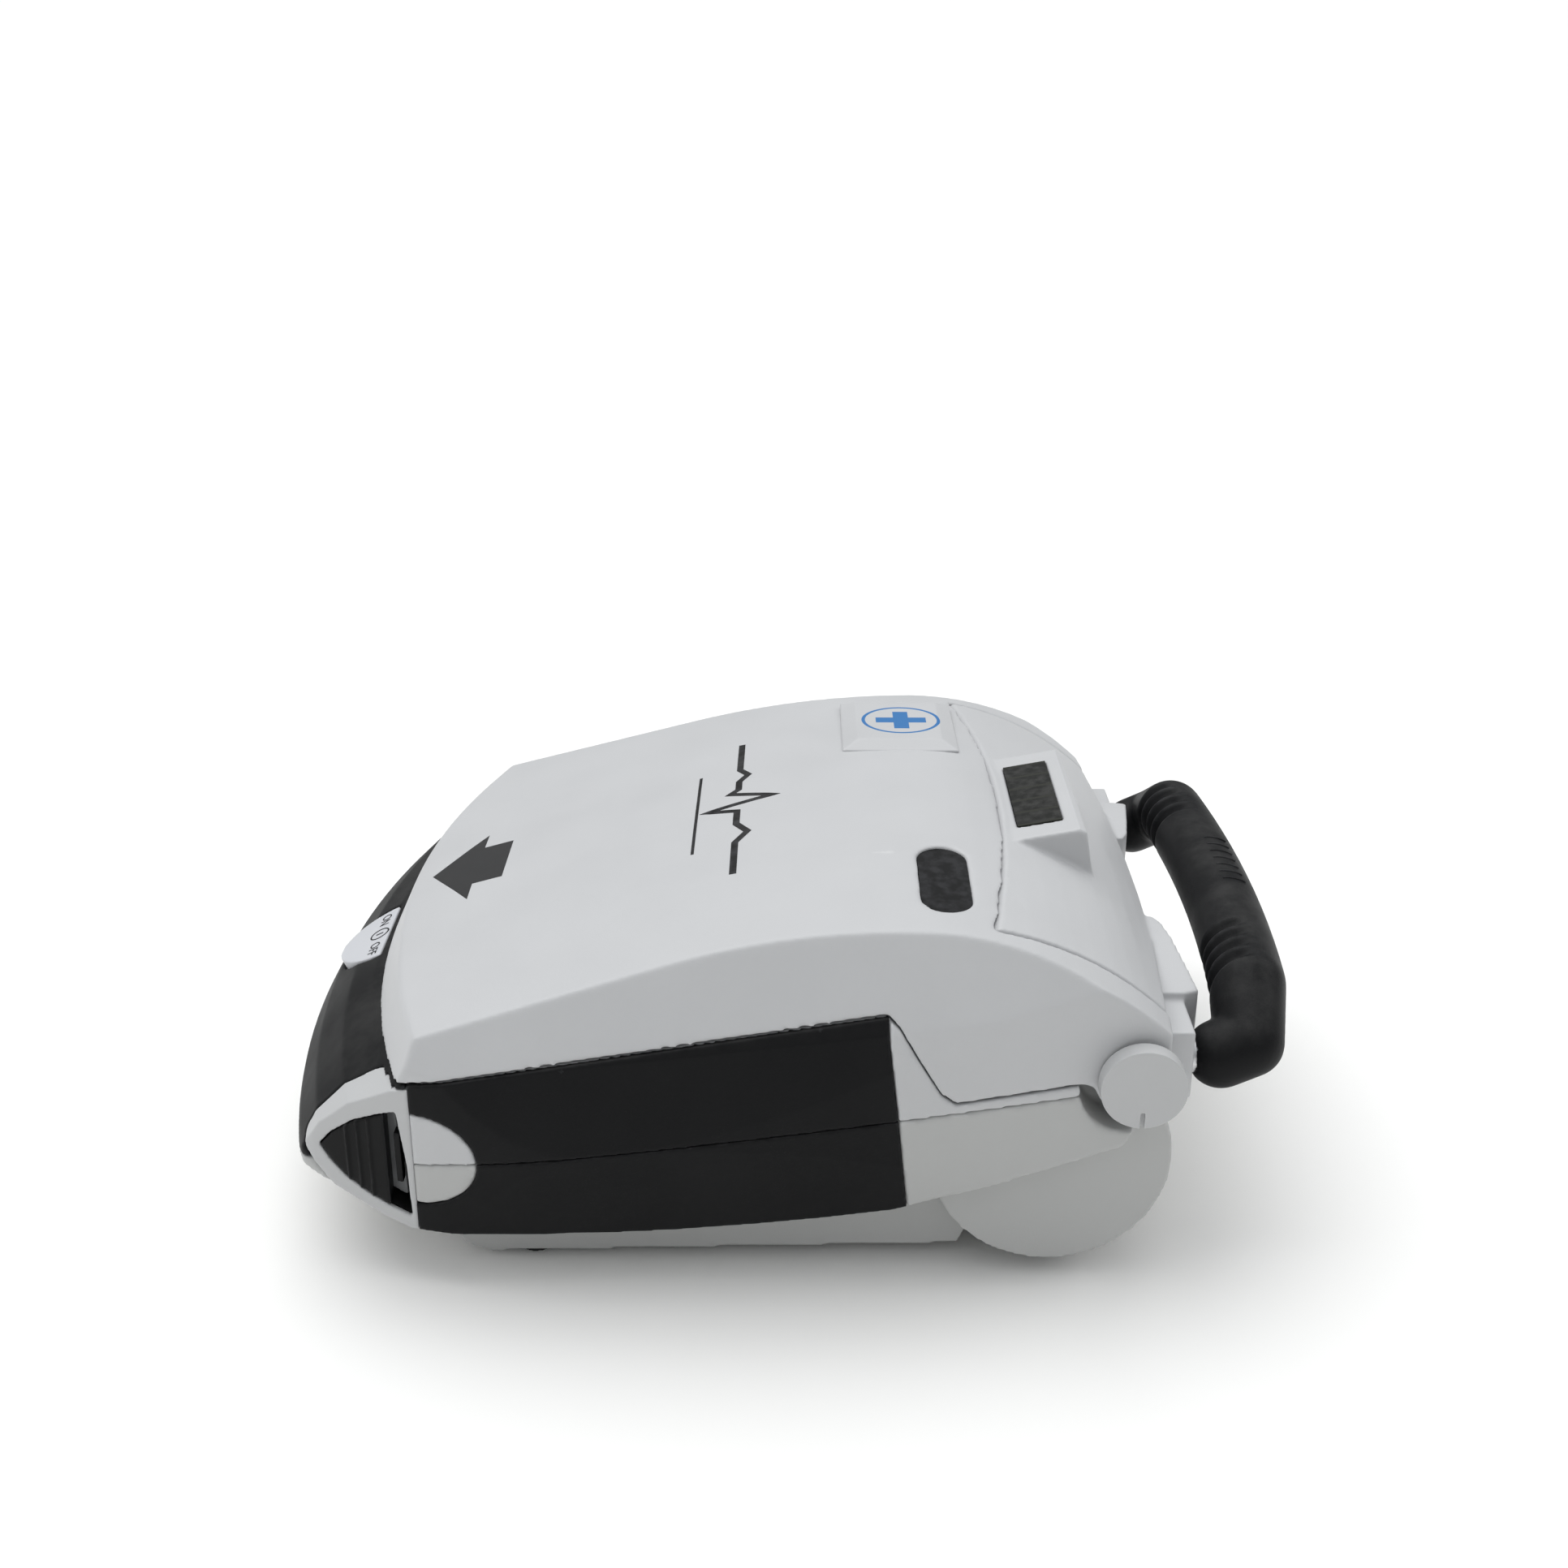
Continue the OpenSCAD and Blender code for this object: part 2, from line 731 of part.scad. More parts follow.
module heat_sink() {
    color("silver") translate([-14, st(board_u) - 36, on_board]) {
        cube([34, 16, 3]);
        for (i = [0 : 5]) translate([i * 6.4, 0, 2.99]) cube([2, 16, 12]);
    }
}
module hv_capacitor() {
    color("navy") translate([-capacitor_l / 2, drum[0], drum[1]]) rotate([0, 90, 0]) {
        cylinder(r = capacitor_r, h = capacitor_l);
        for (x = [-8, 8]) translate([x, 0, capacitor_l - 0.01]) cylinder(r = 3, h = 6);
    }
}
module capacitor_clip() {
    color(steel) for (x = [-0.3, 0.3]) translate([x * capacitor_l, drum[0], drum[1]]) rotate([0, 90, 0])
        difference() {
            cylinder(r = drum_r - wall, h = 6, center = true);
            cylinder(r = capacitor_r + 0.05, h = 7, center = true);
            translate([-far - 6, -far, -10]) cube([far, 2 * far, 20]);
        }
}
cell_r = 8.5;
cell_l = 50;
battery_at = [-30 * sx, 62];
battery_y = st(battery_at[1]) - 4;
battery_z = ht(27);
module internal_battery() {
    color("steelblue") for (side = [-1, 1])
        translate([battery_at[0] - cell_l / 2, battery_y + side * (cell_r + 0.2), battery_z + cell_r])
            rotate([0, 90, 0]) cylinder(r = cell_r, h = cell_l);
}
module battery_tray() {
    color(black) difference() {
        translate([battery_at[0] - cell_l / 2 - 2, battery_y - 2 * cell_r - 2, battery_z - 1.5])
            cube([cell_l + 4, 4 * cell_r + 4, cell_r * 1.3]);
        translate([battery_at[0] - cell_l / 2 - 0.3, battery_y - 2 * cell_r - 0.5, battery_z - 0.05])
            cube([cell_l + 0.6, 4 * cell_r + 1, cell_r * 2]);
    }
}

// Handle: steel core inside a rubber grip
bend = 16;
elbow = [arm_x0, grip_y - 5, arm_z + 3.5];
grip_half = arm_x0 - bend;
grip_bow = 3;
bow_r = (grip_half * grip_half + grip_bow * grip_bow) / (2 * grip_bow);
bow_a = asin(grip_half / bow_r);
shoulder = [grip_half, grip_y - grip_bow, grip_z];
module limb(a, b, ra, rb) {
    hull() {
        translate(a) sphere(r = ra, $fn = 32);
        translate(b) sphere(r = rb, $fn = 32);
    }
}
module grip_bar(r) {
    translate([0, grip_y - bow_r, grip_z]) rotate([0, 0, 90 - bow_a])
        rotate_extrude(angle = 2 * bow_a, $fn = 360) translate([bow_r, 0]) circle(r = r, $fn = 64);
}
module arms(r, arm, root) {
    for (side = [-1, 1]) mirror([side < 0 ? 1 : 0, 0, 0]) {
        limb(shoulder, elbow, r, arm);
        limb(elbow, [arm_x0, root, arm_z], arm, arm);
    }
}
module handle_core() {
    color(steel) difference() {
        union() {
            grip_bar(core_r);
            arms(core_r, core_r, arm_root + 3);
            for (side = [-1, 1]) translate([side * arm_x0, core_root + 0.2, arm_z]) rotate([-90, 0, 0])
                cylinder(r = core_r, h = arm_root + 3 - core_root);
        }
        at_handle_screws() translate([0, 0, -20]) cylinder(r = screw_r, h = 22);
    }
}
module handle_grip() {
    color(black) difference() {
        union() {
            grip_bar(grip_r);
            arms(grip_r, arm_r + 0.8, arm_root + arm_r);
        }
        grip_bar(core_r + 0.05);
        arms(core_r + 0.05, core_r + 0.05, arm_root + 3);
        for (side = [-1, 1]) translate([side * arm_x0, core_root, arm_z]) rotate([-90, 0, 0])
            cylinder(r = core_r + 0.05, h = arm_root + 3 - core_root);
        translate([-far, arm_root + 0.02 - far, 0]) cube([2 * far, far, far]);
    }
}
module handle_screws() {
    color(steel) at_handle_screws() {
        translate([0, 0, -12]) cylinder(r = screw_r, h = 14);
        translate([0, 0, -12]) cylinder(r = head_r, h = 2.4);
    }
}

// Hinge
module hinge_pin(side) {
    color(steel) at_hinge(side, arm_x - hinge_post_l)
        cylinder(r = pin_r, h = half_w - 5.5 - arm_x + hinge_post_l);
}
cap_seat = 5;
cap_nominal = 3;
module hinge_cap(side) {
    color(light_grey) at_hinge(side, half_w - cap_seat) difference() {
        cylinder(r = cap_r, h = cap_seat - cap_nominal + cap_proud);
        translate([cap_r - 4.5, -0.6, cap_seat - cap_nominal + cap_proud - 1.2]) cube([6, 1.2, 8]);
    }
}

// Lid
lid_r = 280 * sx;
module lid_front(o) {
    r0 = lid_r - o;
    translate([0, st(front_u) + lid_r, 0]) rotate_extrude($fn = 360) polygon([
        [0, 0], [r0, 0], [r0, ht(58)], [r0 - 1.5 * sy, ht(62)], [r0 - 7.5 * sy, ht(75)],
        [r0 - 11 * sy, ht(82)], [r0 - 11 * sy, far], [0, far]]);
}
// Side view of the lid: over the deck it ends at the deck, on the arms at the cut-out
module lid_side(low) {
    along_x() polygon([
        [st(15), deck_h(15) + lid_gap - low], [st(168.9), deck_h(168.9) + lid_gap - low],
        [st(210), deck_h(210) + lid_gap - low], [st(210), far], [st(15), far]]);
    for (side = [-1, 1]) on_side(side, arm_x + lid_gap / 2) polygon(concat(
        [[st(150), deck_h(150) + lid_gap - low], [st(168.9), deck_h(168.9) + lid_gap - low]],
        [for (i = [1 : len(cutout) - 1]) sp(cutout[i][0], cutout[i][1]) - [0, low]],
        [[hinge[0], ht(61) - low], [st(250), ht(61) - low], [far, far], [st(150), far]]));
}
module lid_form(o, low) {
    difference() {
        intersection() {
            plan_form(o);
            draft_form(o);
            lid_front(o);
            roof_form(o);
            rear_form(o - 1);
            union() {
                lid_side(low);
                for (side = [-1, 1]) at_hinge(side, arm_x) cylinder(r = boss_r, h = 30);
            }
        }
        // the dome and its block stay clear
        difference() {
            translate([-arm_x - lid_gap / 2 - o, st(120), -10]) cube([2 * arm_x + lid_gap + 2 * o, far, far]);
            seam_cone(-o);
        }
    }
}
module lid_boss(side) {
    intersection() {
        at_hinge(side, arm_x + lid_gap / 2) cylinder(r = boss_r, h = 30);
        plan_form(0);
        draft_form(0);
        rear_form(-1);
        roof_form(0);
    }
}
module lid_shell() {
    color(light_grey) difference() {
        union() {
            difference() {
                lid_form(0, 0);
                lid_form(lid_wall, 20);
            }
            for (side = [-1, 1]) lid_boss(side);
        }
        for (side = [-1, 1]) {
            at_hinge(side, arm_x - 5) cylinder(r = pin_r + 0.05, h = far);
            at_hinge(side, half_w - cap_seat) cylinder(r = cap_r + 0.02, h = far);
        }
        window_place() linear_extrude(height = 20, center = true) window_outline(0);
        badge_place() linear_extrude(height = 3) badge_outline(0.02);
    }
}
// Stadium outline of the window
module window_outline(o) {
    hull() for (x = [-1, 1]) translate([x * (window_l - window_w) / 2, 0])
        circle(r = window_w / 2 + o, $fn = 32);
}
module badge_outline(o) {
    square([badge_l + 2 * o, badge_w + 2 * o], center = true);
}
function roof_z(x, u) = let (r = u < crown_u ? front_arc_r : rear_arc_r)
    ht(roof_top - r + sqrt(r * r - pow(u - crown_u, 2))) - x * x / (2 * crown_r);
window_at = [59 * sx, 185];
badge_at = [-51.5 * sx, 177.5];
module window_place() {
    translate([window_at[0], st(window_at[1]), roof_z(window_at[0], window_at[1])])
        rotate([-3, asin(window_at[0] / crown_r), 0]) children();
}
module badge_place() {
    translate([badge_at[0], st(badge_at[1]), roof_z(badge_at[0], badge_at[1]) - 1.2])
        rotate([0, asin(badge_at[0] / crown_r) / 2, 0]) children();
}
badge_t = 3.2;
badge_chamfer = 5;
module lid_badge() {
    color(light_grey) badge_place() hull() {
        linear_extrude(height = 1) badge_outline(0);
        linear_extrude(height = badge_t) badge_outline(-badge_chamfer);
    }
}
module lid_window() {
    color("#30343a") window_place() {
        translate([0, 0, -lid_wall - 2.4]) linear_extrude(height = lid_wall + 1.4) window_outline(-0.05);
    }
}
module lid_liner() {
    color("white") difference() {
        intersection() {
            difference() {
                lid_form(lid_wall + 0.1, 0);
                lid_form(lid_wall + 0.1 + liner_t, 30);
            }
            liner_band();
        }
        window_place() linear_extrude(height = 30, center = true) window_outline(2);
        hook_space(1.2);
    }
}
module liner_band() {
    translate([-74 * sx, st(38), 0]) cube([148 * sx, (176 - 38) * sy, far]);
}
module latch_hook() {
    color(steel) {
        intersection() {
            translate([-hook_w / 2, st(hook_u), ht(48)]) cube([hook_w, hook_t, ht(30)]);
            lid_form(lid_wall, 30);
        }
        translate([-hook_w / 2, st(hook_u) - hook_lip, ht(48)]) cube([hook_w, hook_lip + 0.01, 2.5]);
    }
}

// Release button, its catch and spring
button_h = 12;
module release_button() {
    color(mid_grey) button_frame() difference() {
        translate([0, 0, -button_h]) linear_extrude(height = button_h) button_outline(0);
        translate([0, 0, -button_h - 1]) linear_extrude(height = button_h - 1.5) button_outline(-2);
    }
}
module button_catch() {
    color(black) button_frame() {
        translate([-8, button_back - 2, -button_h - 1.4]) cube([16, 4, 1.4]);
    }
}
spring_wire = 0.7;
spring_r = 5;
// Open coil of round wire with its axis along z
module coil(r, wire, h, turns) {
    sides = 8;
    steps = turns * 14;
    rings = [for (i = [0 : steps]) let (a = 360 * turns * i / steps)
        [for (j = [0 : sides - 1]) let (b = 360 * j / sides)
            [(r + wire * cos(b)) * cos(a), (r + wire * cos(b)) * sin(a),
             wire + (h - 2 * wire) * i / steps + wire * sin(b)]]];
    points = [for (ring = rings) for (p = ring) p];
    faces = concat(
        [[for (j = [0 : sides - 1]) j]],
        [for (i = [0 : steps - 1], j = [0 : sides - 1]) let (k = (j + 1) % sides)
            [i * sides + j, (i + 1) * sides + j, (i + 1) * sides + k, i * sides + k]],
        [[for (j = [sides - 1 : -1 : 0]) steps * sides + j]]);
    polyhedron(points, faces, convexity = 6);
}
module button_spring() {
    color(steel) button_frame() translate([0, button_back - 9, -cup_depth + cup_t])
        coil(spring_r, spring_wire, cup_depth - cup_t - 2.55, 5);
}

// Shock button
module shock_bezel() {
    color(mid_grey) on_deck(shock_at[0], shock_at[1]) difference() {
        union() {
            translate([0, 0, -shock_depth + 3]) cylinder(r = bezel_r, h = shock_depth - 2.99);
            translate([0, 0, 0.02]) cylinder(r = shock_r + button_gap + 4, h = 1.6);
            translate([0, 0, -1]) cylinder(r = bezel_r, h = 1.5);
        }
        translate([0, 0, -shock_depth]) cylinder(r = shock_r + button_gap, h = 40);
    }
}
module shock_button() {
    color("orangered") on_deck(shock_at[0], shock_at[1]) difference() {
        translate([0, 0, -6]) cylinder(r = shock_r, h = 9);
        translate([0, 0, -7]) cylinder(r = shock_r - 2, h = 8);
    }
}
module shock_spring() {
    color(steel) on_deck(shock_at[0], shock_at[1]) translate([0, 0, -shock_depth])
        coil(shock_r - 6, spring_wire, shock_depth + 0.9, 4);
}

// Electrode packet, socket and speaker under the lid
module electrode_packet() {
    color("lightsteelblue") on_deck(0, packet_u) translate([0, 0, 0.02]) linear_extrude(height = 4.5)
        hull() for (x = [-1, 1], y = [-1, 1])
            translate([x * (packet_w / 2 - 5), y * (packet_l / 2 - 5)]) circle(r = 5, $fn = 32);
}
module electrode_socket() {
    color(mid_grey) on_deck(socket_at[0], socket_at[1]) difference() {
        union() {
            translate([-socket_w / 2 + 0.1, -socket_l / 2 + 0.1, -12])
                cube([socket_w - 0.2, socket_l - 0.2, 13.5]);
            translate([-socket_w / 2 - 1.5, -socket_l / 2 - 1.5, 0.01])
                cube([socket_w + 3, socket_l + 3, 1.5]);
        }
        translate([-socket_w / 2 + 4, -socket_l / 2 + 4, -8]) cube([socket_w - 8, socket_l - 8, 20]);
    }
}
module speaker_grille() {
    color(black) on_deck(speaker_at[0], speaker_at[1]) difference() {
        translate([0, 0, 0.01]) cylinder(r = speaker_r + 2, h = 1.2);
        grille_slots();
    }
}
module speaker() {
    color(black) on_deck(speaker_at[0], speaker_at[1]) {
        translate([0, 0, -wall - 4]) cylinder(r = speaker_r, h = 3.95);
        translate([0, 0, -wall - speaker_depth]) cylinder(r = speaker_r * 0.55, h = speaker_depth - 3.9);
    }
}
seal_w = 2.4;
module lid_seal_groove() {
    seal_band(0.02);
}
// Seal round the front and flanks of the deck, open behind
module seal_band(o) {
    on_deck(0, seal_front) translate([0, 0, -0.9 - o]) linear_extrude(height = 0.9 + o + 1) difference() {
        seal_plan(o);
        seal_plan(-seal_w - o);
    }
}
seal_front = 43;
seal_rear = 165;
seal_half = 84;
module seal_plan(o) {
    rear = (seal_rear - seal_front) * sy + (o < 0 ? 1 : o);
    half = seal_half * sx + o;
    corner = 6;
    polygon(concat(
        [[-half, rear], [-half, corner - o]],
        [for (a = [200 : 20 : 260]) [corner * cos(a) - half + corner, corner * sin(a) + corner - o]],
        [for (a = [280 : 20 : 340]) [corner * cos(a) + half - corner, corner * sin(a) + corner - o]],
        [[half, corner - o], [half, rear]]));
}
module deck_seal() {
    color(black) seal_band(0);
}

// Display under its window
module display_module() {
    color("#3c4238") display_frame() {
        translate([0, 0, -lcd_t]) linear_extrude(height = lcd_t - lens_t - 0.02)
            square([lcd_w + 0.9, lcd_l + 0.9], center = true);
        translate([0, 0, -lcd_t - 5]) linear_extrude(height = 5.01)
            square([lcd_w - 8, lcd_l - 6], center = true);
    }
}
module display_window() {
    color("#20261f") display_frame() translate([0, 0, -lens_t - 0.01])
        linear_extrude(height = lens_t) square([lcd_w + 0.9, lcd_l + 0.9], center = true);
}

// Cartridge in its bay at the right front corner
module cartridge_bay() {
    color(black) difference() {
        intersection() {
            on_side(1, bay_x) sail_outline(bay_t);
            wide_form(skin_t + 0.02, -1);
        }
        on_side(1, bay_x + bay_t) sail_outline(0);
    }
}
latch_u = 38.6;
module charger_cartridge() {
    color("dimgray") intersection() {
        on_side(1, bay_x + bay_t + 4) sail_outline(-1.6);
        wide_form(skin_t + 3.2, -1);
    }
}
module front_of_latch(u) {
    along_x() polygon([sp(0, 0), sp(u, 0), sp(u, 110), sp(0, 110)]);
}
module cartridge_cap() {
    color(black) difference() {
        intersection() {
            on_side(1, half_w / 2) sail_outline(-cartridge_gap);
            wide_form(0.2, -1);
            front_of_latch(latch_u - 0.8);
        }
        wide_form(skin_t + 3.2, -2);
    }
}
latch_travel = 1.2;
module cartridge_latch() {
    color("#3a3b3e") difference() {
        intersection() {
            wide_form(1.4, -1);
            on_side(1, half_w / 2) polygon([
                [st(latch_u) + latch_travel, ht(31)], [st(latch_u) + latch_travel, ht(46)],
                [st(41.5), ht(46)], [st(41.5), ht(31)]]);
        }
        wide_form(skin_t + 3, -2);
    }
}
module bay_contacts() {
    color("gold") for (z = [34, 39, 44]) translate([bay_x + bay_t, st(34), ht(z)]) rotate([0, 90, 0])
        cylinder(r = 1, h = 3.4);
}
module data_port_cap() {
    color(black) difference() {
        intersection() {
            on_side(-1, half_w / 2) sail_outline(-cartridge_gap / 2);
            wide_form(0.2, -1);
        }
        wide_form(skin_t, -2);
        infrared_hole(0.02);
    }
}
module infrared_hole(o) {
    on_side(-1, half_w / 2) translate(sp(34, 38)) square([12 + o, 9 + o], center = true);
}
module infrared_window() {
    color("#3b0d12") intersection() {
        infrared_hole(0);
        difference() {
            wide_form(0.5, -1);
            wide_form(skin_t, -2);
        }
    }
}

lower_case();
upper_case();
case_gasket();
case_screws();
rubber_feet();
front_bumper();
side_panel(1, true);  // side_panel_upper_right
side_panel(-1, true);  // side_panel_upper_left
side_panel(1, false);  // side_panel_lower_right
side_panel(-1, false);  // side_panel_lower_left
corner_trim(1);  // corner_trim_right
corner_trim(-1);  // corner_trim_left
data_port_cap();
infrared_window();
display_module();
display_window();
handle_core();
handle_grip();
handle_screws();
hinge_pin(1);  // hinge_pin_right
hinge_pin(-1);  // hinge_pin_left
deck_seal();
electrode_packet();
electrode_socket();
speaker_grille();
speaker();
shock_bezel();
shock_button();
shock_spring();
lid_shell();
lid_liner();
lid_window();
lid_badge();
latch_hook();
hinge_cap(1);  // hinge_cap_right
hinge_cap(-1);  // hinge_cap_left
release_button();
button_catch();
button_spring();
cartridge_bay();
charger_cartridge();
cartridge_cap();
cartridge_latch();
bay_contacts();
main_board();
board_screws();
processor_chips();
transformer();
inductor();
relay();
heat_sink();
hv_capacitor();
capacitor_clip();
internal_battery();
battery_tray();
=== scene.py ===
import json
import math

import bmesh
import bpy
from mathutils import Matrix, Vector
from mathutils.bvhtree import BVHTree


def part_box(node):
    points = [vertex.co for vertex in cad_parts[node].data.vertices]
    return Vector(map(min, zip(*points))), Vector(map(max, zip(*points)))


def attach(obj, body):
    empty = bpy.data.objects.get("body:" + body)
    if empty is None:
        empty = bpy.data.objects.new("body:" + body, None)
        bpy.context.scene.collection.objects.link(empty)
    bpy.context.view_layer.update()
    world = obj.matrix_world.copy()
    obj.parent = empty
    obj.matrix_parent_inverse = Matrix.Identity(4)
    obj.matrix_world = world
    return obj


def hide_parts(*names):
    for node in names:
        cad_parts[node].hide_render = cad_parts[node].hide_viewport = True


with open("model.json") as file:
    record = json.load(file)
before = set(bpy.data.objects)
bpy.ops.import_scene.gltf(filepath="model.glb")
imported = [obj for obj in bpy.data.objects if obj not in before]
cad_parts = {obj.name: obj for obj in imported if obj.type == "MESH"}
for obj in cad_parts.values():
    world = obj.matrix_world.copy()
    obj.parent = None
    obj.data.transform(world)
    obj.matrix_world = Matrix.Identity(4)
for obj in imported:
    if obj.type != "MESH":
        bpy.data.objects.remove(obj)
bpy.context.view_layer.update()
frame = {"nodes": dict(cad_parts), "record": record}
cadNodes = frame["nodes"]
mm = 0.001
print("frame loaded:", len(cadNodes), "nodes")


# camera, floor and studio light

view = {
    "place": (0.522587, 0.005, 0.326218),
    "pitch": 22.8205,
    "yaw": -0.4758,
    "lens": 44.156,
}


def makeCamera(look):
    pitch = math.radians(look["pitch"])
    yaw = math.radians(look["yaw"])
    ahead = Vector((-math.cos(pitch) * math.cos(yaw), math.cos(pitch) * math.sin(yaw), -math.sin(pitch)))
    data = bpy.data.cameras.new("camera")
    data.sensor_width = 36
    data.lens = look["lens"]
    data.clip_start = 0.01
    camera = bpy.data.objects.new("camera", data)
    bpy.context.scene.collection.objects.link(camera)
    camera.location = look["place"]
    camera.rotation_euler = ahead.to_track_quat("-Z", "Y").to_euler()
    bpy.context.scene.camera = camera


studio = {
    "floorSize": 60.0,
    "floorColour": (0.955, 0.95, 0.935, 1),
    "zenith": 0.95,
    "horizon": 0.16,
    "backdropStrength": 1.0,
    "sunStrength": 1.45,
    "sunFrom": (-0.32, -0.22, 1.0),
    "sunWidth": 60,
    # name: place, aimed at, size, watts
    "lamps": {
        "rearLight": ((-0.25, 0.85, 0.75), (0, 0.05, 0.06), 0.6, 1.2),
        "noseLight": ((0.30, -0.95, 0.50), (0, -0.05, 0.05), 0.5, 0.8),
    },
}


def aim(thing, place, target):
    thing.location = place
    thing.rotation_euler = (Vector(target) - Vector(place)).to_track_quat("-Z", "Y").to_euler()


def makeWorld(look):
    # a lamp that fades towards the horizon, with a white backdrop for the camera
    world = bpy.data.worlds.new("studio")
    bpy.context.scene.world = world
    world.use_nodes = True
    tree = world.node_tree
    sky = tree.nodes["Background"]
    sky.inputs["Color"].default_value = (0.965, 0.985, 1, 1)
    rays = tree.nodes.new("ShaderNodeLightPath")
    place = tree.nodes.new("ShaderNodeTexCoord")
    parts = tree.nodes.new("ShaderNodeSeparateXYZ")
    fade = tree.nodes.new("ShaderNodeMapRange")
    fade.inputs["To Min"].default_value = look["horizon"]
    fade.inputs["To Max"].default_value = look["zenith"]
    strength = tree.nodes.new("ShaderNodeMapRange")
    strength.inputs["To Max"].default_value = look["backdropStrength"]
    tree.links.new(place.outputs["Generated"], parts.inputs["Vector"])
    tree.links.new(parts.outputs["Z"], fade.inputs["Value"])
    tree.links.new(fade.outputs["Result"], strength.inputs["To Min"])
    tree.links.new(rays.outputs["Is Camera Ray"], strength.inputs["Value"])
    tree.links.new(strength.outputs["Result"], sky.inputs["Strength"])


def makeStudio(look):
    floorMesh = bpy.data.meshes.new("floor")
    form = bmesh.new()
    bmesh.ops.create_grid(form, x_segments=2, y_segments=2, size=look["floorSize"] / 2)
    form.to_mesh(floorMesh)
    form.free()
    floor = bpy.data.objects.new("floor", floorMesh)
    bpy.context.scene.collection.objects.link(floor)
    floorMaterial = bpy.data.materials.new("floorPaper")
    floorMaterial.use_nodes = True
    shader = floorMaterial.node_tree.nodes["Principled BSDF"]
    shader.inputs["Base Color"].default_value = look["floorColour"]
    shader.inputs["Roughness"].default_value = 0.9
    floorMesh.materials.append(floorMaterial)
    makeWorld(look)
    sun = bpy.data.lights.new("softSun", "SUN")
    sun.energy = look["sunStrength"]
    sun.angle = math.radians(look["sunWidth"])
    sunLamp = bpy.data.objects.new("softSun", sun)
    bpy.context.scene.collection.objects.link(sunLamp)
    aim(sunLamp, look["sunFrom"], (0, 0, 0))
    for name, (place, target, size, watts) in look["lamps"].items():
        data = bpy.data.lights.new(name, "AREA")
        data.shape = "DISK"
        data.size = size
        data.energy = watts
        lamp = bpy.data.objects.new(name, data)
        bpy.context.scene.collection.objects.link(lamp)
        aim(lamp, place, target)


makeCamera(view)
makeStudio(studio)
bpy.context.scene.view_settings.view_transform = "Standard"
print("camera and studio ready")


# shader node groups shared by the finishes


def addNode(tree, kind, **settings):
    node = tree.nodes.new(kind)
    for name, value in settings.items():
        setattr(node, name, value)
    return node


def startGroup(name, inputs, outputs):
    group = bpy.data.node_groups.new(name, "ShaderNodeTree")
    for title, kind, value in inputs:
        socket = group.interface.new_socket(title, in_out="INPUT", socket_type=kind)
        socket.default_value = value
    for title, kind in outputs:
        group.interface.new_socket(title, in_out="OUTPUT", socket_type=kind)
    return group, addNode(group, "NodeGroupInput"), addNode(group, "NodeGroupOutput")


def makeGrainGroup():
    # fine moulded grain for the bump, and slow mottling for colour and roughness
    group, given, made = startGroup(
        "mouldGrain",
        [("Grain Scale", "NodeSocketFloat", 2500.0), ("Mottle Scale", "NodeSocketFloat", 40.0)],
        [("Height", "NodeSocketFloat"), ("Mottle", "NodeSocketFloat")],
    )
    link = group.links.new
    place = addNode(group, "ShaderNodeTexCoord")
    grain = addNode(group, "ShaderNodeTexNoise")
    grain.inputs["Detail"].default_value = 3.0
    grain.inputs["Roughness"].default_value = 0.6
    pits = addNode(group, "ShaderNodeTexVoronoi")
    mottle = addNode(group, "ShaderNodeTexNoise")
    mottle.inputs["Detail"].default_value = 5.0
    both = addNode(group, "ShaderNodeMath", operation="MULTIPLY_ADD")
    both.inputs[1].default_value = 0.5
    link(place.outputs["Object"], grain.inputs["Vector"])
    link(place.outputs["Object"], pits.inputs["Vector"])
    link(place.outputs["Object"], mottle.inputs["Vector"])
    link(given.outputs["Grain Scale"], grain.inputs["Scale"])
    link(given.outputs["Grain Scale"], pits.inputs["Scale"])
    link(given.outputs["Mottle Scale"], mottle.inputs["Scale"])
    link(pits.outputs["Distance"], both.inputs[0])
    link(grain.outputs["Fac"], both.inputs[2])
    link(both.outputs[0], made.inputs["Height"])
    link(mottle.outputs["Fac"], made.inputs["Mottle"])
    return group


def makeWearGroup():
    # rubbed corners: where the form is sharp, broken up by noise
    group, given, made = startGroup(
        "edgeWear",
        [("Reach", "NodeSocketFloat", 0.06), ("Breakup Scale", "NodeSocketFloat", 300.0)],
        [("Mask", "NodeSocketFloat")],
    )
    link = group.links.new
    place = addNode(group, "ShaderNodeTexCoord")
    form = addNode(group, "ShaderNodeNewGeometry")
    upper = addNode(group, "ShaderNodeMath", operation="ADD")
    upper.inputs[0].default_value = 0.52
    spread = addNode(group, "ShaderNodeMapRange")
    spread.inputs["From Min"].default_value = 0.52
    noise = addNode(group, "ShaderNodeTexNoise")
    noise.inputs["Detail"].default_value = 4.0
    broken = addNode(group, "ShaderNodeMapRange")
    broken.inputs["From Min"].default_value = 0.4
    broken.inputs["From Max"].default_value = 0.65
    mask = addNode(group, "ShaderNodeMath", operation="MULTIPLY")
    link(given.outputs["Reach"], upper.inputs[1])
    link(form.outputs["Pointiness"], spread.inputs["Value"])
    link(upper.outputs[0], spread.inputs["From Max"])
    link(place.outputs["Object"], noise.inputs["Vector"])
    link(given.outputs["Breakup Scale"], noise.inputs["Scale"])
    link(noise.outputs["Fac"], broken.inputs["Value"])
    link(spread.outputs["Result"], mask.inputs[0])
    link(broken.outputs["Result"], mask.inputs[1])
    link(mask.outputs[0], made.inputs["Mask"])
    return group


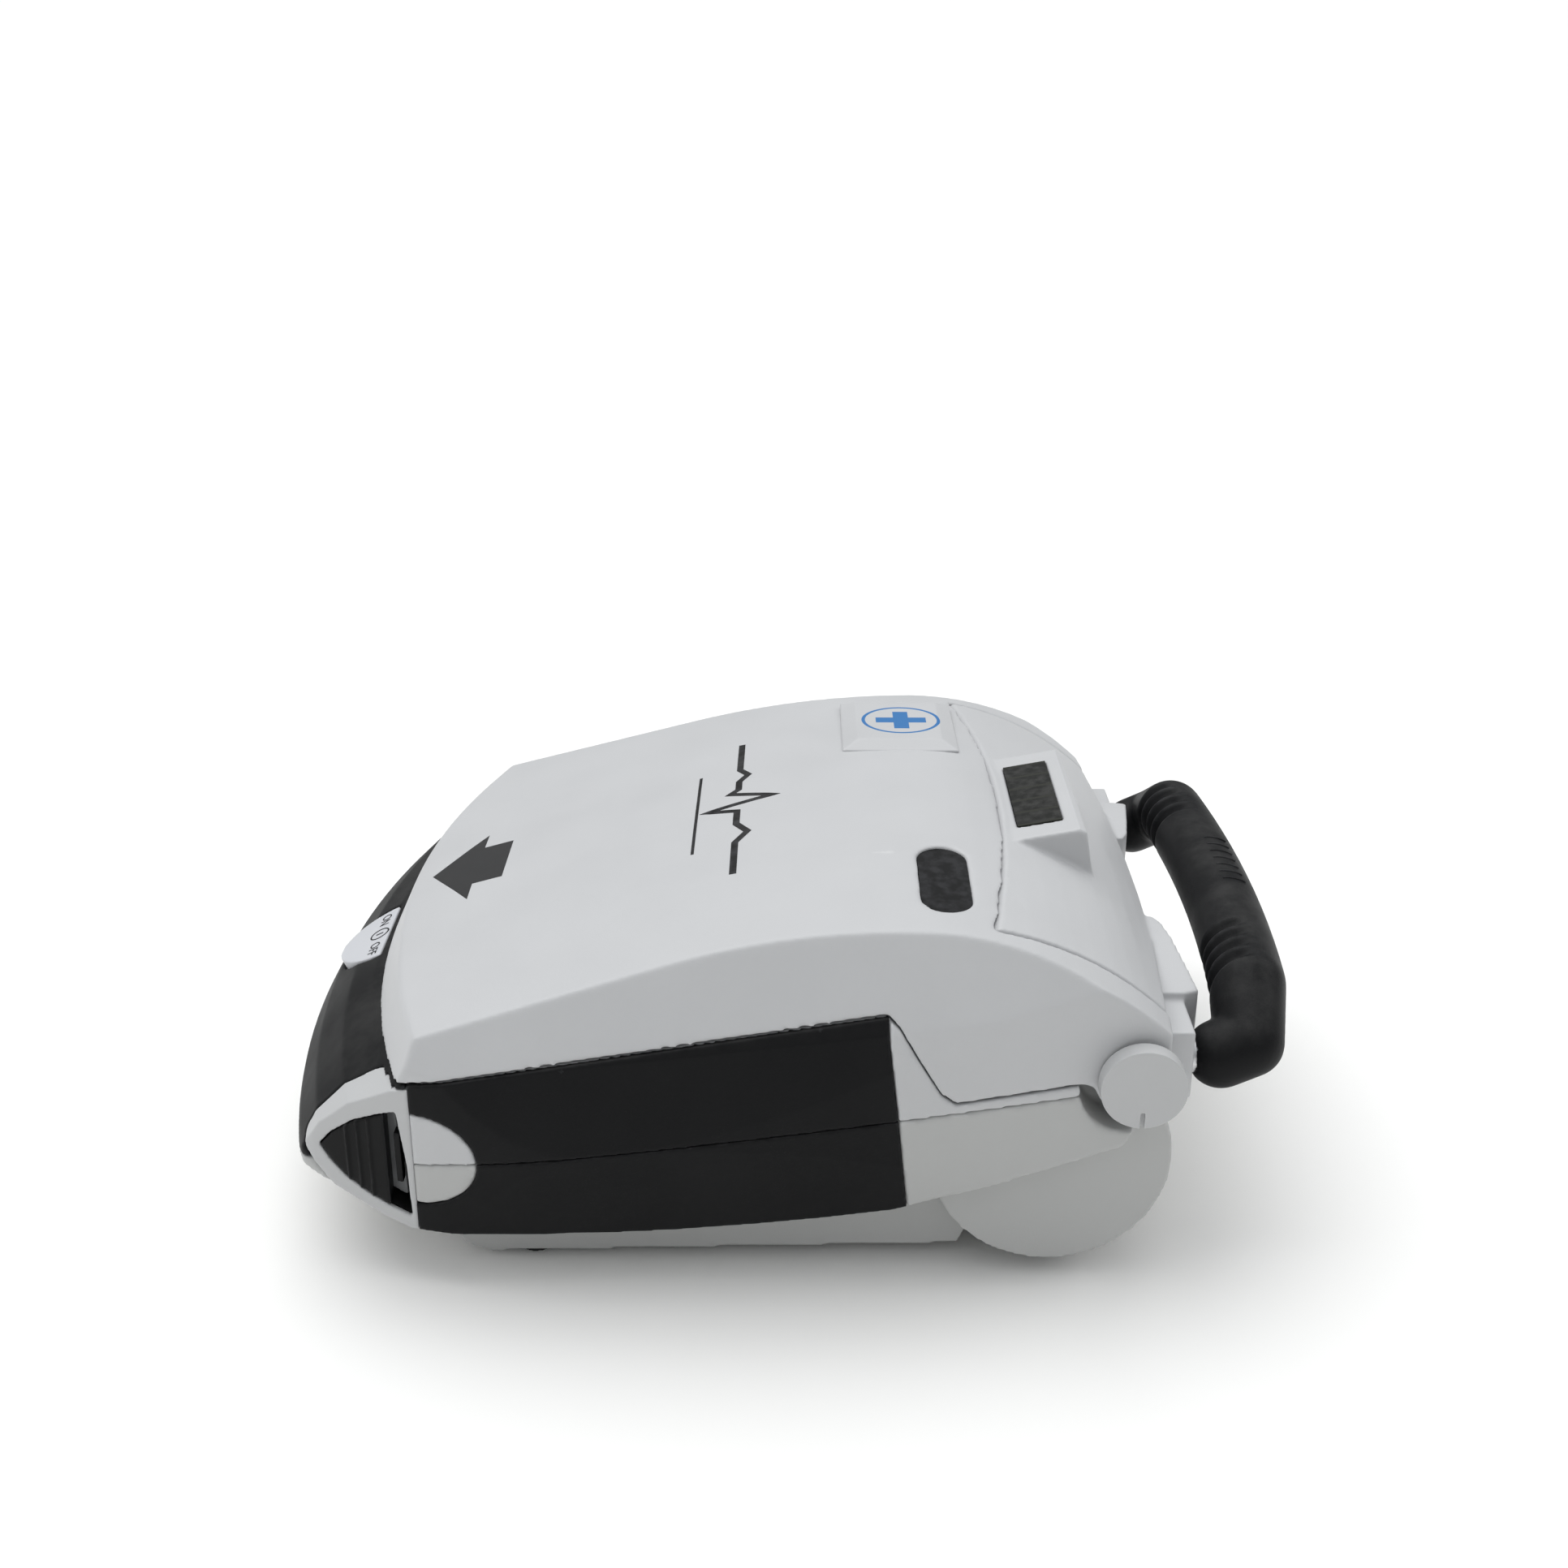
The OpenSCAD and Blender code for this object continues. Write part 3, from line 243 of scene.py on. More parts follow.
def makeDustGroup():
    # a little dust on what faces up
    group, given, made = startGroup(
        "settledDust",
        [("Amount", "NodeSocketFloat", 0.1), ("Patch Scale", "NodeSocketFloat", 60.0)],
        [("Mask", "NodeSocketFloat")],
    )
    link = group.links.new
    place = addNode(group, "ShaderNodeTexCoord")
    parts = addNode(group, "ShaderNodeSeparateXYZ")
    facing = addNode(group, "ShaderNodeMapRange")
    facing.inputs["From Min"].default_value = 0.3
    noise = addNode(group, "ShaderNodeTexNoise")
    noise.inputs["Detail"].default_value = 8.0
    noise.inputs["Roughness"].default_value = 0.7
    patch = addNode(group, "ShaderNodeMapRange")
    patch.inputs["From Min"].default_value = 0.42
    patch.inputs["From Max"].default_value = 0.75
    both = addNode(group, "ShaderNodeMath", operation="MULTIPLY")
    mask = addNode(group, "ShaderNodeMath", operation="MULTIPLY")
    link(place.outputs["Normal"], parts.inputs["Vector"])
    link(parts.outputs["Z"], facing.inputs["Value"])
    link(place.outputs["Object"], noise.inputs["Vector"])
    link(given.outputs["Patch Scale"], noise.inputs["Scale"])
    link(noise.outputs["Fac"], patch.inputs["Value"])
    link(facing.outputs["Result"], both.inputs[0])
    link(patch.outputs["Result"], both.inputs[1])
    link(both.outputs[0], mask.inputs[0])
    link(given.outputs["Amount"], mask.inputs[1])
    link(mask.outputs[0], made.inputs["Mask"])
    return group


grainGroup = makeGrainGroup()
wearGroup = makeWearGroup()
dustGroup = makeDustGroup()


# finishes, one for each material slot

finishKeys = ("colour", "worn", "roughLow", "roughHigh", "grain", "bump", "reach", "dust", "metal", "coat")
# one row for each slot, in the order of finishKeys
finishes = {
    "shell_grey": ((0.545, 0.55, 0.56), (0.63, 0.635, 0.64),
        0.42, 0.52, 2600, 0.05, 0.10, 0.05, 0, 0.0),
    "trim_grey": ((0.51, 0.515, 0.52), (0.6, 0.605, 0.61),
        0.42, 0.52, 2600, 0.05, 0.10, 0.05, 0, 0.0),
    "button_grey": ((0.60, 0.61, 0.64), (0.72, 0.72, 0.74),
        0.38, 0.48, 3200, 0.04, 0.08, 0.05, 0, 0.0),
    "liner_white": ((0.74, 0.75, 0.76), (0.8, 0.8, 0.8),
        0.45, 0.55, 2600, 0.04, 0.10, 0.04, 0, 0.0),
    "panel_black": ((0.004, 0.0042, 0.0048), (0.03, 0.03, 0.033),
        0.48, 0.60, 3000, 0.06, 0.06, 0.04, 0, 0.0),
    "cap_black": ((0.0035, 0.0037, 0.004), (0.025, 0.025, 0.028),
        0.40, 0.52, 3000, 0.05, 0.06, 0.04, 0, 0.0),
    "handle_rubber": ((0.0045, 0.0047, 0.0055), (0.025, 0.025, 0.028),
        0.44, 0.58, 2400, 0.07, 0.05, 0.05, 0, 0.0),
    "foot_rubber": ((0.02, 0.02, 0.021), (0.06, 0.06, 0.06),
        0.7, 0.85, 1800, 0.1, 0.05, 0.08, 0, 0.0),
    "seal_rubber": ((0.018, 0.018, 0.019), (0.05, 0.05, 0.05),
        0.6, 0.75, 1800, 0.08, 0.05, 0.05, 0, 0.0),
    "shock_orange": ((0.85, 0.16, 0.02), (0.9, 0.35, 0.15),
        0.28, 0.4, 2600, 0.03, 0.08, 0.02, 0, 0.3),
    "cartridge_grey": ((0.22, 0.225, 0.23), (0.4, 0.4, 0.4),
        0.45, 0.58, 2600, 0.06, 0.08, 0.03, 0, 0.0),
    "contact_brass": ((0.78, 0.56, 0.24), (0.9, 0.72, 0.42),
        0.22, 0.4, 1500, 0.03, 0.1, 0.0, 1, 0.0),
    "screw_steel": ((0.55, 0.56, 0.57), (0.75, 0.75, 0.75),
        0.28, 0.45, 1500, 0.04, 0.1, 0.0, 1, 0.0),
    "board_green": ((0.02, 0.12, 0.045), (0.2, 0.3, 0.16),
        0.35, 0.5, 900, 0.05, 0.05, 0.06, 0, 0.2),
    "chip_black": ((0.016, 0.016, 0.017), (0.06, 0.06, 0.06),
        0.5, 0.65, 3500, 0.06, 0.06, 0.04, 0, 0.0),
    "transformer_tape": ((0.68, 0.46, 0.08), (0.8, 0.65, 0.3),
        0.35, 0.5, 900, 0.06, 0.06, 0.03, 0, 0.2),
    "winding_copper": ((0.62, 0.28, 0.13), (0.8, 0.5, 0.35),
        0.25, 0.4, 1800, 0.12, 0.06, 0.02, 1, 0.3),
    "relay_blue": ((0.02, 0.10, 0.34), (0.15, 0.25, 0.5),
        0.35, 0.48, 2200, 0.04, 0.08, 0.03, 0, 0.0),
    "sink_aluminium": ((0.66, 0.67, 0.68), (0.82, 0.82, 0.82),
        0.3, 0.48, 1200, 0.06, 0.1, 0.02, 1, 0.0),
    "capacitor_blue": ((0.015, 0.04, 0.16), (0.2, 0.25, 0.4),
        0.25, 0.38, 1600, 0.03, 0.08, 0.03, 0, 0.3),
    "cell_blue": ((0.02, 0.09, 0.24), (0.2, 0.3, 0.45),
        0.25, 0.38, 1600, 0.03, 0.08, 0.02, 0, 0.3),
    "infrared_lens": ((0.05, 0.004, 0.008), (0.1, 0.03, 0.03),
        0.115, 0.125, 900, 0.0, 0.02, 0.0, 0, 0.0),
    "smoked_window": ((0.003, 0.0032, 0.0034), (0.02, 0.02, 0.022),
        0.115, 0.125, 900, 0.0, 0.02, 0.0, 0, 0.0),
}


def mixColour(tree, mask, below, above):
    mix = addNode(tree, "ShaderNodeMix", data_type="RGBA")
    tree.links.new(mask, mix.inputs[0])
    for socket, value in ((mix.inputs[6], below), (mix.inputs[7], above)):
        if isinstance(value, tuple):
            socket.default_value = (*value[:3], 1)
        else:
            tree.links.new(value, socket)
    return mix.outputs[2]


# what every finish shares
common = {
    "coatRoughness": 0.12,
    "specular": 0.45,
    "darkSpecular": 0.16,  # for colours darker than darkBelow
    "darkBelow": 0.02,
    "mottleScale": 38.0,
    "mottleShade": 0.94,
    "dustColour": (0.62, 0.61, 0.58),
    "bumpGain": 3,
    "bumpDepth": 0.0002,
}


def makeFinish(name, values):
    look = dict(zip(finishKeys, values))
    colour = look["colour"]
    material = bpy.data.materials.new(name)
    material.use_nodes = True
    tree = material.node_tree
    link = tree.links.new
    shader = tree.nodes["Principled BSDF"]
    shader.inputs["Metallic"].default_value = look["metal"]
    shader.inputs["Coat Weight"].default_value = look["coat"]
    shader.inputs["Coat Roughness"].default_value = common["coatRoughness"]
    dark = max(colour) < common["darkBelow"]
    specular = common["darkSpecular"] if dark else common["specular"]
    shader.inputs["Specular IOR Level"].default_value = specular
    texture = addNode(tree, "ShaderNodeGroup", node_tree=grainGroup)
    texture.inputs["Grain Scale"].default_value = look["grain"]
    texture.inputs["Mottle Scale"].default_value = common["mottleScale"]
    wear = addNode(tree, "ShaderNodeGroup", node_tree=wearGroup)
    wear.inputs["Reach"].default_value = look["reach"]
    dusty = addNode(tree, "ShaderNodeGroup", node_tree=dustGroup)
    dusty.inputs["Amount"].default_value = look["dust"]
    darker = tuple(c * common["mottleShade"] for c in colour)
    base = mixColour(tree, texture.outputs["Mottle"], darker, colour)
    base = mixColour(tree, wear.outputs["Mask"], base, look["worn"])
    base = mixColour(tree, dusty.outputs["Mask"], base, common["dustColour"])
    rough = addNode(tree, "ShaderNodeMapRange")
    rough.inputs["From Min"].default_value = 0.3
    rough.inputs["From Max"].default_value = 0.7
    rough.inputs["To Min"].default_value = look["roughLow"]
    rough.inputs["To Max"].default_value = look["roughHigh"]
    relief = addNode(tree, "ShaderNodeBump")
    relief.inputs["Strength"].default_value = look["bump"] * common["bumpGain"]
    relief.inputs["Distance"].default_value = common["bumpDepth"]
    link(texture.outputs["Mottle"], rough.inputs["Value"])
    link(texture.outputs["Height"], relief.inputs["Height"])
    link(rough.outputs["Result"], shader.inputs["Roughness"])
    link(relief.outputs["Normal"], shader.inputs["Normal"])
    link(base, shader.inputs["Base Color"])
    return material


materials = {name: makeFinish(name, values) for name, values in finishes.items()}


# the display's glass, with the faint bars of the panel under it
lcdLook = {"glass": (0.005, 0.0055, 0.004), "bar": (0.022, 0.023, 0.017), "barPitch": 8.6}


def makeLcdGlass(look):
    values = (look["glass"], (0.03, 0.03, 0.028), 0.1, 0.11, 900, 0.0, 0.02, 0.0, 0, 0.0)
    material = makeFinish("lcd_glass", values)
    tree = material.node_tree
    shader = tree.nodes["Principled BSDF"]
    place = addNode(tree, "ShaderNodeTexCoord")
    parts = addNode(tree, "ShaderNodeSeparateXYZ")
    wave = addNode(tree, "ShaderNodeMath", operation="PINGPONG")
    wave.inputs[1].default_value = look["barPitch"] / 2 * mm
    band = addNode(tree, "ShaderNodeMapRange")
    band.inputs["From Min"].default_value = look["barPitch"] * 0.40 * mm
    band.inputs["From Max"].default_value = look["barPitch"] * 0.46 * mm
    under = shader.inputs["Base Color"].links[0].from_socket
    tree.links.new(place.outputs["Object"], parts.inputs["Vector"])
    tree.links.new(parts.outputs["X"], wave.inputs[0])
    tree.links.new(wave.outputs[0], band.inputs["Value"])
    tree.links.new(mixColour(tree, band.outputs["Result"], under, look["bar"]), shader.inputs["Base Color"])
    return material


materials["lcd_glass"] = makeLcdGlass(lcdLook)

# the foil of the electrode packet, crinkled by two noises
foilLook = {"colour": (0.42, 0.46, 0.50), "crinkleScale": 38.0, "depth": 0.0009, "strength": 0.35}


def makeFoil(look):
    values = (look["colour"], (0.6, 0.62, 0.64), 0.38, 0.5, 500, 0.04, 0.08, 0.02, 0.35, 0.0)
    material = makeFinish("packet_foil", values)
    tree = material.node_tree
    shader = tree.nodes["Principled BSDF"]
    place = addNode(tree, "ShaderNodeTexCoord")
    crinkle = addNode(tree, "ShaderNodeTexNoise")
    crinkle.inputs["Scale"].default_value = look["crinkleScale"]
    crinkle.inputs["Detail"].default_value = 2.0
    crinkle.inputs["Distortion"].default_value = 1.5
    folds = addNode(tree, "ShaderNodeBump")
    folds.inputs["Strength"].default_value = look["strength"]
    folds.inputs["Distance"].default_value = look["depth"]
    fine = shader.inputs["Normal"].links[0].from_node
    tree.links.new(place.outputs["Object"], crinkle.inputs["Vector"])
    tree.links.new(crinkle.outputs["Fac"], folds.inputs["Height"])
    tree.links.new(folds.outputs["Normal"], fine.inputs["Normal"])
    return material


materials["packet_foil"] = makeFoil(foilLook)

slotOf = {entry["node"]: entry["material_slot"] for entry in frame["record"]["subparts"]}
for name, cadNode in cadNodes.items():
    cadNode.data.materials.clear()
    cadNode.data.materials.append(materials[slotOf[name]])
print("finishes ready:", len(materials))


# moulded pieces: merged copies of the frame's meshes with soft edges


def bodyOf(name):
    for body, members in frame["record"]["behaviour"]["bodies"].items():
        if name in members:
            return body


def finishPiece(piece, name, body, slot, replaced=()):
    piece.name = name
    piece.data.name = name
    if not piece.data.materials:
        piece.data.materials.append(materials[slot])
    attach(piece, body)
    if replaced:
        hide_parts(*replaced)
    return piece


def bakeModifiers(piece):
    graph = bpy.context.evaluated_depsgraph_get()
    baked = bpy.data.meshes.new_from_object(piece.evaluated_get(graph))
    piece.modifiers.clear()
    old = piece.data
    piece.data = baked
    bpy.data.meshes.remove(old)
    return piece


def mergedCopy(nodeName):
    form = bmesh.new()
    form.from_mesh(cadNodes[nodeName].data)
    bmesh.ops.remove_doubles(form, verts=form.verts, dist=2e-6)
    mesh = bpy.data.meshes.new(nodeName + "Soft")
    form.to_mesh(mesh)
    form.free()
    piece = bpy.data.objects.new(nodeName + "Soft", mesh)
    bpy.context.scene.collection.objects.link(piece)
    return piece


# node: voxel size in mm, rounds of smoothing
softPieces = {
    "lid_shell": (0.65, 14),
    "upper_case": (0.6, 4),
    "lower_case": (0.8, 4),
    "front_bumper": (0.5, 16),
    "side_panel_upper_right": (0.45, 5),
    "side_panel_upper_left": (0.45, 5),
    "side_panel_lower_right": (0.45, 5),
    "side_panel_lower_left": (0.45, 5),
    "corner_trim_right": (0.4, 5),
    "corner_trim_left": (0.4, 5),
    "handle_grip": (0.7, 12),
    "hinge_cap_right": (0.22, 2),
    "hinge_cap_left": (0.22, 2),
    "release_button": (0.35, 6),
    "cartridge_cap": (0.35, 4),
    "data_port_cap": (0.35, 4),
    "lid_badge": (0.35, 4),
    "lid_liner": (0.7, 3),
    "electrode_packet": (0.6, 14),
    "electrode_socket": (0.4, 3),
    "shock_button": (0.35, 5),
    "shock_bezel": (0.35, 3),
    "speaker_grille": (0.35, 3),
    "rubber_feet": (0.35, 4),
    "charger_cartridge": (0.5, 5),
    "cartridge_latch": (0.25, 3),
}
triangleLimit = 150000


def softenNode(nodeName, voxel, rounds):
    piece = mergedCopy(nodeName)
    remesh = piece.modifiers.new("remesh", "REMESH")
    remesh.mode = "VOXEL"
    remesh.voxel_size = voxel * mm * 1
    remesh.use_smooth_shade = True
    smooth = piece.modifiers.new("smooth", "SMOOTH")
    smooth.factor = 0.5
    smooth.iterations = rounds
    bakeModifiers(piece)
    triangles = 2 * len(piece.data.polygons)
    if triangles > triangleLimit:
        thin = piece.modifiers.new("thin", "DECIMATE")
        thin.ratio = triangleLimit / triangles
        bakeModifiers(piece)
    for face in piece.data.polygons:
        face.use_smooth = True
    piece.data.materials.clear()
    return finishPiece(piece, nodeName + "Soft", bodyOf(nodeName), slotOf[nodeName], (nodeName,))


soft = {}
for name, (voxel, rounds) in softPieces.items():
    soft[name] = softenNode(name, voxel, rounds)
print("moulded pieces ready:", len(soft))


# ridges pressed into a soft piece, by one Geometry Nodes tree


def treeInput(tree, title, kind, value):
    socket = tree.interface.new_socket(title, in_out="INPUT", socket_type=kind)
    socket.default_value = value
    return socket.identifier


def startTree(name):
    tree = bpy.data.node_groups.new(name, "GeometryNodeTree")
    tree.interface.new_socket("Geometry", in_out="INPUT", socket_type="NodeSocketGeometry")
    tree.interface.new_socket("Geometry", in_out="OUTPUT", socket_type="NodeSocketGeometry")
    return tree


def endTree(tree, given, shape, ids):
    # real geometry with its finish, because the export drops instances
    finish = tree.interface.new_socket("Finish", in_out="INPUT", socket_type="NodeSocketMaterial")
    ids["Finish"] = finish.identifier
    made = addNode(tree, "NodeGroupOutput")
    real = addNode(tree, "GeometryNodeRealizeInstances")
    painted = addNode(tree, "GeometryNodeSetMaterial")
    tree.links.new(shape, real.inputs["Geometry"])
    tree.links.new(real.outputs["Geometry"], painted.inputs["Geometry"])
    tree.links.new(given.outputs["Finish"], painted.inputs["Material"])
    tree.links.new(painted.outputs["Geometry"], made.inputs[0])


def mathNode(tree, operation, first, second=None):
    node = addNode(tree, "ShaderNodeMath", operation=operation)
    for socket, value in zip(node.inputs, (first, second)):
        if value is None:
            continue
        if isinstance(value, (int, float)):
            socket.default_value = value
        else:
            tree.links.new(value, socket)
    return node.outputs[0]


def makeRidgeTree():
    tree = startTree("ridges")
    ids = {
        "Along": treeInput(tree, "Along", "NodeSocketVector", (1, 0, 0)),
        "Facing": treeInput(tree, "Facing", "NodeSocketVector", (0, -1, 0)),
        "Start": treeInput(tree, "Start", "NodeSocketFloat", 0.05),
        "End": treeInput(tree, "End", "NodeSocketFloat", 0.06),
        "Pitch": treeInput(tree, "Pitch", "NodeSocketFloat", 0.005),
        "Height": treeInput(tree, "Height", "NodeSocketFloat", 0.001),
        "Sharpness": treeInput(tree, "Sharpness", "NodeSocketFloat", 1.0),
    }
    given = addNode(tree, "NodeGroupInput")
    link = tree.links.new
    place = addNode(tree, "GeometryNodeInputPosition")
    normal = addNode(tree, "GeometryNodeInputNormal")
    along = addNode(tree, "ShaderNodeVectorMath", operation="DOT_PRODUCT")
    link(place.outputs[0], along.inputs[0])
    link(given.outputs["Along"], along.inputs[1])
    facing = addNode(tree, "ShaderNodeVectorMath", operation="DOT_PRODUCT")
    link(normal.outputs[0], facing.inputs[0])
    link(given.outputs["Facing"], facing.inputs[1])
    run = mathNode(tree, "ABSOLUTE", along.outputs["Value"])
    fromStart = mathNode(tree, "SUBTRACT", run, given.outputs["Start"])
    toEnd = mathNode(tree, "SUBTRACT", given.outputs["End"], run)
    inside = mathNode(tree, "MULTIPLY", mathNode(tree, "GREATER_THAN", fromStart, 0.0),
                      mathNode(tree, "GREATER_THAN", toEnd, 0.0))
    steps = mathNode(tree, "DIVIDE", fromStart, given.outputs["Pitch"])
    turns = mathNode(tree, "MULTIPLY", steps, 2 * math.pi)
    wave = mathNode(tree, "MULTIPLY", mathNode(tree, "SUBTRACT", 1.0, mathNode(tree, "COSINE", turns)), 0.5)
    crest = mathNode(tree, "POWER", wave, given.outputs["Sharpness"])
    side = addNode(tree, "ShaderNodeMapRange")
    side.inputs["From Min"].default_value = 0.0
    side.inputs["From Max"].default_value = 0.5
    link(facing.outputs["Value"], side.inputs["Value"])
    lift = mathNode(tree, "MULTIPLY", mathNode(tree, "MULTIPLY", crest, inside), side.outputs["Result"])
    lift = mathNode(tree, "MULTIPLY", lift, given.outputs["Height"])
    offset = addNode(tree, "ShaderNodeVectorMath", operation="SCALE")
    link(normal.outputs[0], offset.inputs[0])
    link(lift, offset.inputs["Scale"])
    move = addNode(tree, "GeometryNodeSetPosition")
    link(given.outputs["Geometry"], move.inputs["Geometry"])
    link(offset.outputs[0], move.inputs["Offset"])
    endTree(tree, given, move.outputs[0], ids)
    return tree, ids


ridgeTree, ridgeIds = makeRidgeTree()

gripGrooves = {"Along": (1, 0, 0), "Facing": (0, -1, 0.25), "Start": 0.0375, "End": 0.0615,
               "Pitch": 0.0060, "Height": -0.0022, "Sharpness": 0.9}
capRibs = {"Along": (0, 1, 0), "Facing": (1, -0.3, 0), "Start": 0.1062, "End": 0.1158,
           "Pitch": 0.0032, "Height": 0.0006, "Sharpness": 6.0}


def pressRidges(piece, values):
    modifier = piece.modifiers.new("ridges", "NODES")
    modifier.node_group = ridgeTree
    for title, value in values.items():
        modifier[ridgeIds[title]] = value
    modifier[ridgeIds["Finish"]] = piece.data.materials[0]
    bakeModifiers(piece)
    for face in piece.data.polygons:
        face.use_smooth = True


packetCrimps = {"Along": (1, 0, 0), "Facing": (0, 0, 1), "Start": 0.0655, "End": 0.0745,
                "Pitch": 0.0018, "Height": -0.0006, "Sharpness": 1.0}
pressRidges(soft["handle_grip"], gripGrooves)
pressRidges(soft["cartridge_cap"], capRibs)
pressRidges(soft["electrode_packet"], packetCrimps)
print("grip grooves, cap ribs and packet crimps pressed")


# raised lines: rows of arcs swept by one Geometry Nodes tree


def makeArcTree():
    tree = startTree("raisedArcs")
    ids = {
        "Count": treeInput(tree, "Count", "NodeSocketInt", 5),
        "Step": treeInput(tree, "Step", "NodeSocketVector", (0.005, 0, 0)),
        "Radius": treeInput(tree, "Radius", "NodeSocketFloat", 0.01),
        "Growth": treeInput(tree, "Growth", "NodeSocketFloat", 0.0),
        "Start Angle": treeInput(tree, "Start Angle", "NodeSocketFloat", 0.0),
        "Sweep": treeInput(tree, "Sweep", "NodeSocketFloat", 1.0),
        "Wire": treeInput(tree, "Wire", "NodeSocketFloat", 0.0005),
    }
    given = addNode(tree, "NodeGroupInput")
    link = tree.links.new
    row = addNode(tree, "GeometryNodeMeshLine", mode="OFFSET")
    link(given.outputs["Count"], row.inputs["Count"])
    link(given.outputs["Step"], row.inputs["Offset"])
    bow = addNode(tree, "GeometryNodeCurveArc", mode="RADIUS")
    bow.inputs["Resolution"].default_value = 24
    bow.inputs["Radius"].default_value = 1.0
    link(given.outputs["Start Angle"], bow.inputs["Start Angle"])
    link(given.outputs["Sweep"], bow.inputs["Sweep Angle"])
    index = addNode(tree, "GeometryNodeInputIndex")
    growth = mathNode(tree, "MULTIPLY", index.outputs[0], given.outputs["Growth"])
    grown = mathNode(tree, "ADD", given.outputs["Radius"], growth)
    copies = addNode(tree, "GeometryNodeInstanceOnPoints")
    link(row.outputs["Mesh"], copies.inputs["Points"])
    link(bow.outputs["Curve"], copies.inputs["Instance"])
    link(grown, copies.inputs["Scale"])
    real = addNode(tree, "GeometryNodeRealizeInstances")
    link(copies.outputs["Instances"], real.inputs["Geometry"])
    wire = addNode(tree, "GeometryNodeCurvePrimitiveCircle", mode="RADIUS")
    wire.inputs["Resolution"].default_value = 10
    link(given.outputs["Wire"], wire.inputs["Radius"])
    swept = addNode(tree, "GeometryNodeCurveToMesh")
    swept.inputs["Fill Caps"].default_value = True
    link(real.outputs["Geometry"], swept.inputs["Curve"])
    link(wire.outputs["Curve"], swept.inputs["Profile Curve"])
    endTree(tree, given, swept.outputs["Mesh"], ids)
    return tree, ids


arcTree, arcIds = makeArcTree()


def sweepArcs(name, values, place, body, slot):
    mesh = bpy.data.meshes.new(name)
    piece = bpy.data.objects.new(name, mesh)
    bpy.context.scene.collection.objects.link(piece)
    modifier = piece.modifiers.new("arcs", "NODES")
    modifier.node_group = arcTree
    for title, value in values.items():
        modifier[arcIds[title]] = value
    modifier[arcIds["Finish"]] = materials[slot]
    bakeModifiers(piece)
    piece.data.transform(place)
    for face in piece.data.polygons:
        face.use_smooth = True
    return finishPiece(piece, name, body, slot)


# embossed dashes over the grip: arcs round its axis
gripMarks = {"Count": 7, "Step": (0, 0, 0.0048), "Radius": 0.01035, "Growth": 0.0,
             "Start Angle": math.radians(58), "Sweep": math.radians(38), "Wire": 0.0004}
gripLow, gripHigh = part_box("handle_grip")
gripAxis = Vector((-0.016, gripHigh.y - 0.0105, 0.072))
acrossGrip = Matrix(((0, 0, 1, 0), (1, 0, 0, 0), (0, 1, 0, 0), (0, 0, 0, 1)))
sweepArcs("gripMarks", gripMarks, Matrix.Translation(gripAxis) @ acrossGrip, "base", "handle_rubber")

# release button: its top plane leans back, y runs up the plane
buttonTop = Matrix.Translation((0, -0.1217, 0.0567)) @ Matrix.Rotation(math.radians(26), 4, "X")
buttonArcs = {"Count": 4, "Step": (0, 0, 0), "Radius": 0.0055, "Growth": 0.0021,
              "Start Angle": math.radians(215), "Sweep": math.radians(110), "Wire": 0.00022}
arcSink = Matrix.Translation((0, 0, -0.00022))
sweepArcs("buttonArcs", buttonArcs, buttonTop @ arcSink, "release_button", "button_grey")
powerRing = {"Count": 1, "Step": (0, 0, 0), "Radius": 0.0030, "Growth": 0.0,
             "Start Angle": math.radians(0), "Sweep": math.radians(359.9), "Wire": 0.0003}
ringPlace = Matrix.Translation((0, -0.0012, -0.00012))
sweepArcs("powerRing", powerRing, buttonTop @ ringPlace, "release_button", "cap_black")
print("raised arcs swept")


# printed words and marks as thin relief


def printShape(name, polygons, place, body, slot, thickness=0.00012):
    form = bmesh.new()
    for points in polygons:
        face = form.faces.new([form.verts.new((x * mm, y * mm, 0)) for x, y in points])
        raised = bmesh.ops.extrude_face_region(form, geom=[face])
        lifted = [v for v in raised["geom"] if isinstance(v, bmesh.types.BMVert)]
        bmesh.ops.translate(form, verts=lifted, vec=(0, 0, thickness))
    bmesh.ops.recalc_face_normals(form, faces=form.faces)
    mesh = bpy.data.meshes.new(name)
    form.to_mesh(mesh)
    form.free()
    mesh.transform(place)
    piece = bpy.data.objects.new(name, mesh)
    bpy.context.scene.collection.objects.link(piece)
    return finishPiece(piece, name, body, slot)


def printWord(name, word, height, place, body, slot):
    curve = bpy.data.curves.new(name, "FONT")
    curve.body = word
    curve.size = height
    curve.align_x = "CENTER"
    curve.align_y = "CENTER"
    curve.extrude = 0.00008
    words = bpy.data.objects.new(name, curve)
    bpy.context.scene.collection.objects.link(words)
    graph = bpy.context.evaluated_depsgraph_get()
    mesh = bpy.data.meshes.new_from_object(words.evaluated_get(graph))
    bpy.data.objects.remove(words)
    mesh.transform(place)
    piece = bpy.data.objects.new(name, mesh)
    bpy.context.scene.collection.objects.link(piece)
    return finishPiece(piece, name, body, slot)


printShape("powerBar", [[(-0.25, -0.6), (0.25, -0.6), (0.25, 1.8), (-0.25, 1.8)]],
           buttonTop @ Matrix.Translation((0, -0.0018, 0)), "release_button", "cap_black")
wordHeight = 0.0046
printWord("onWord", "ON", wordHeight, buttonTop @ Matrix.Translation((-0.0092, -0.0012, 0)),
          "release_button", "cap_black")
printWord("offWord", "OFF", wordHeight, buttonTop @ Matrix.Translation((0.0098, -0.0012, 0)),
          "release_button", "cap_black")


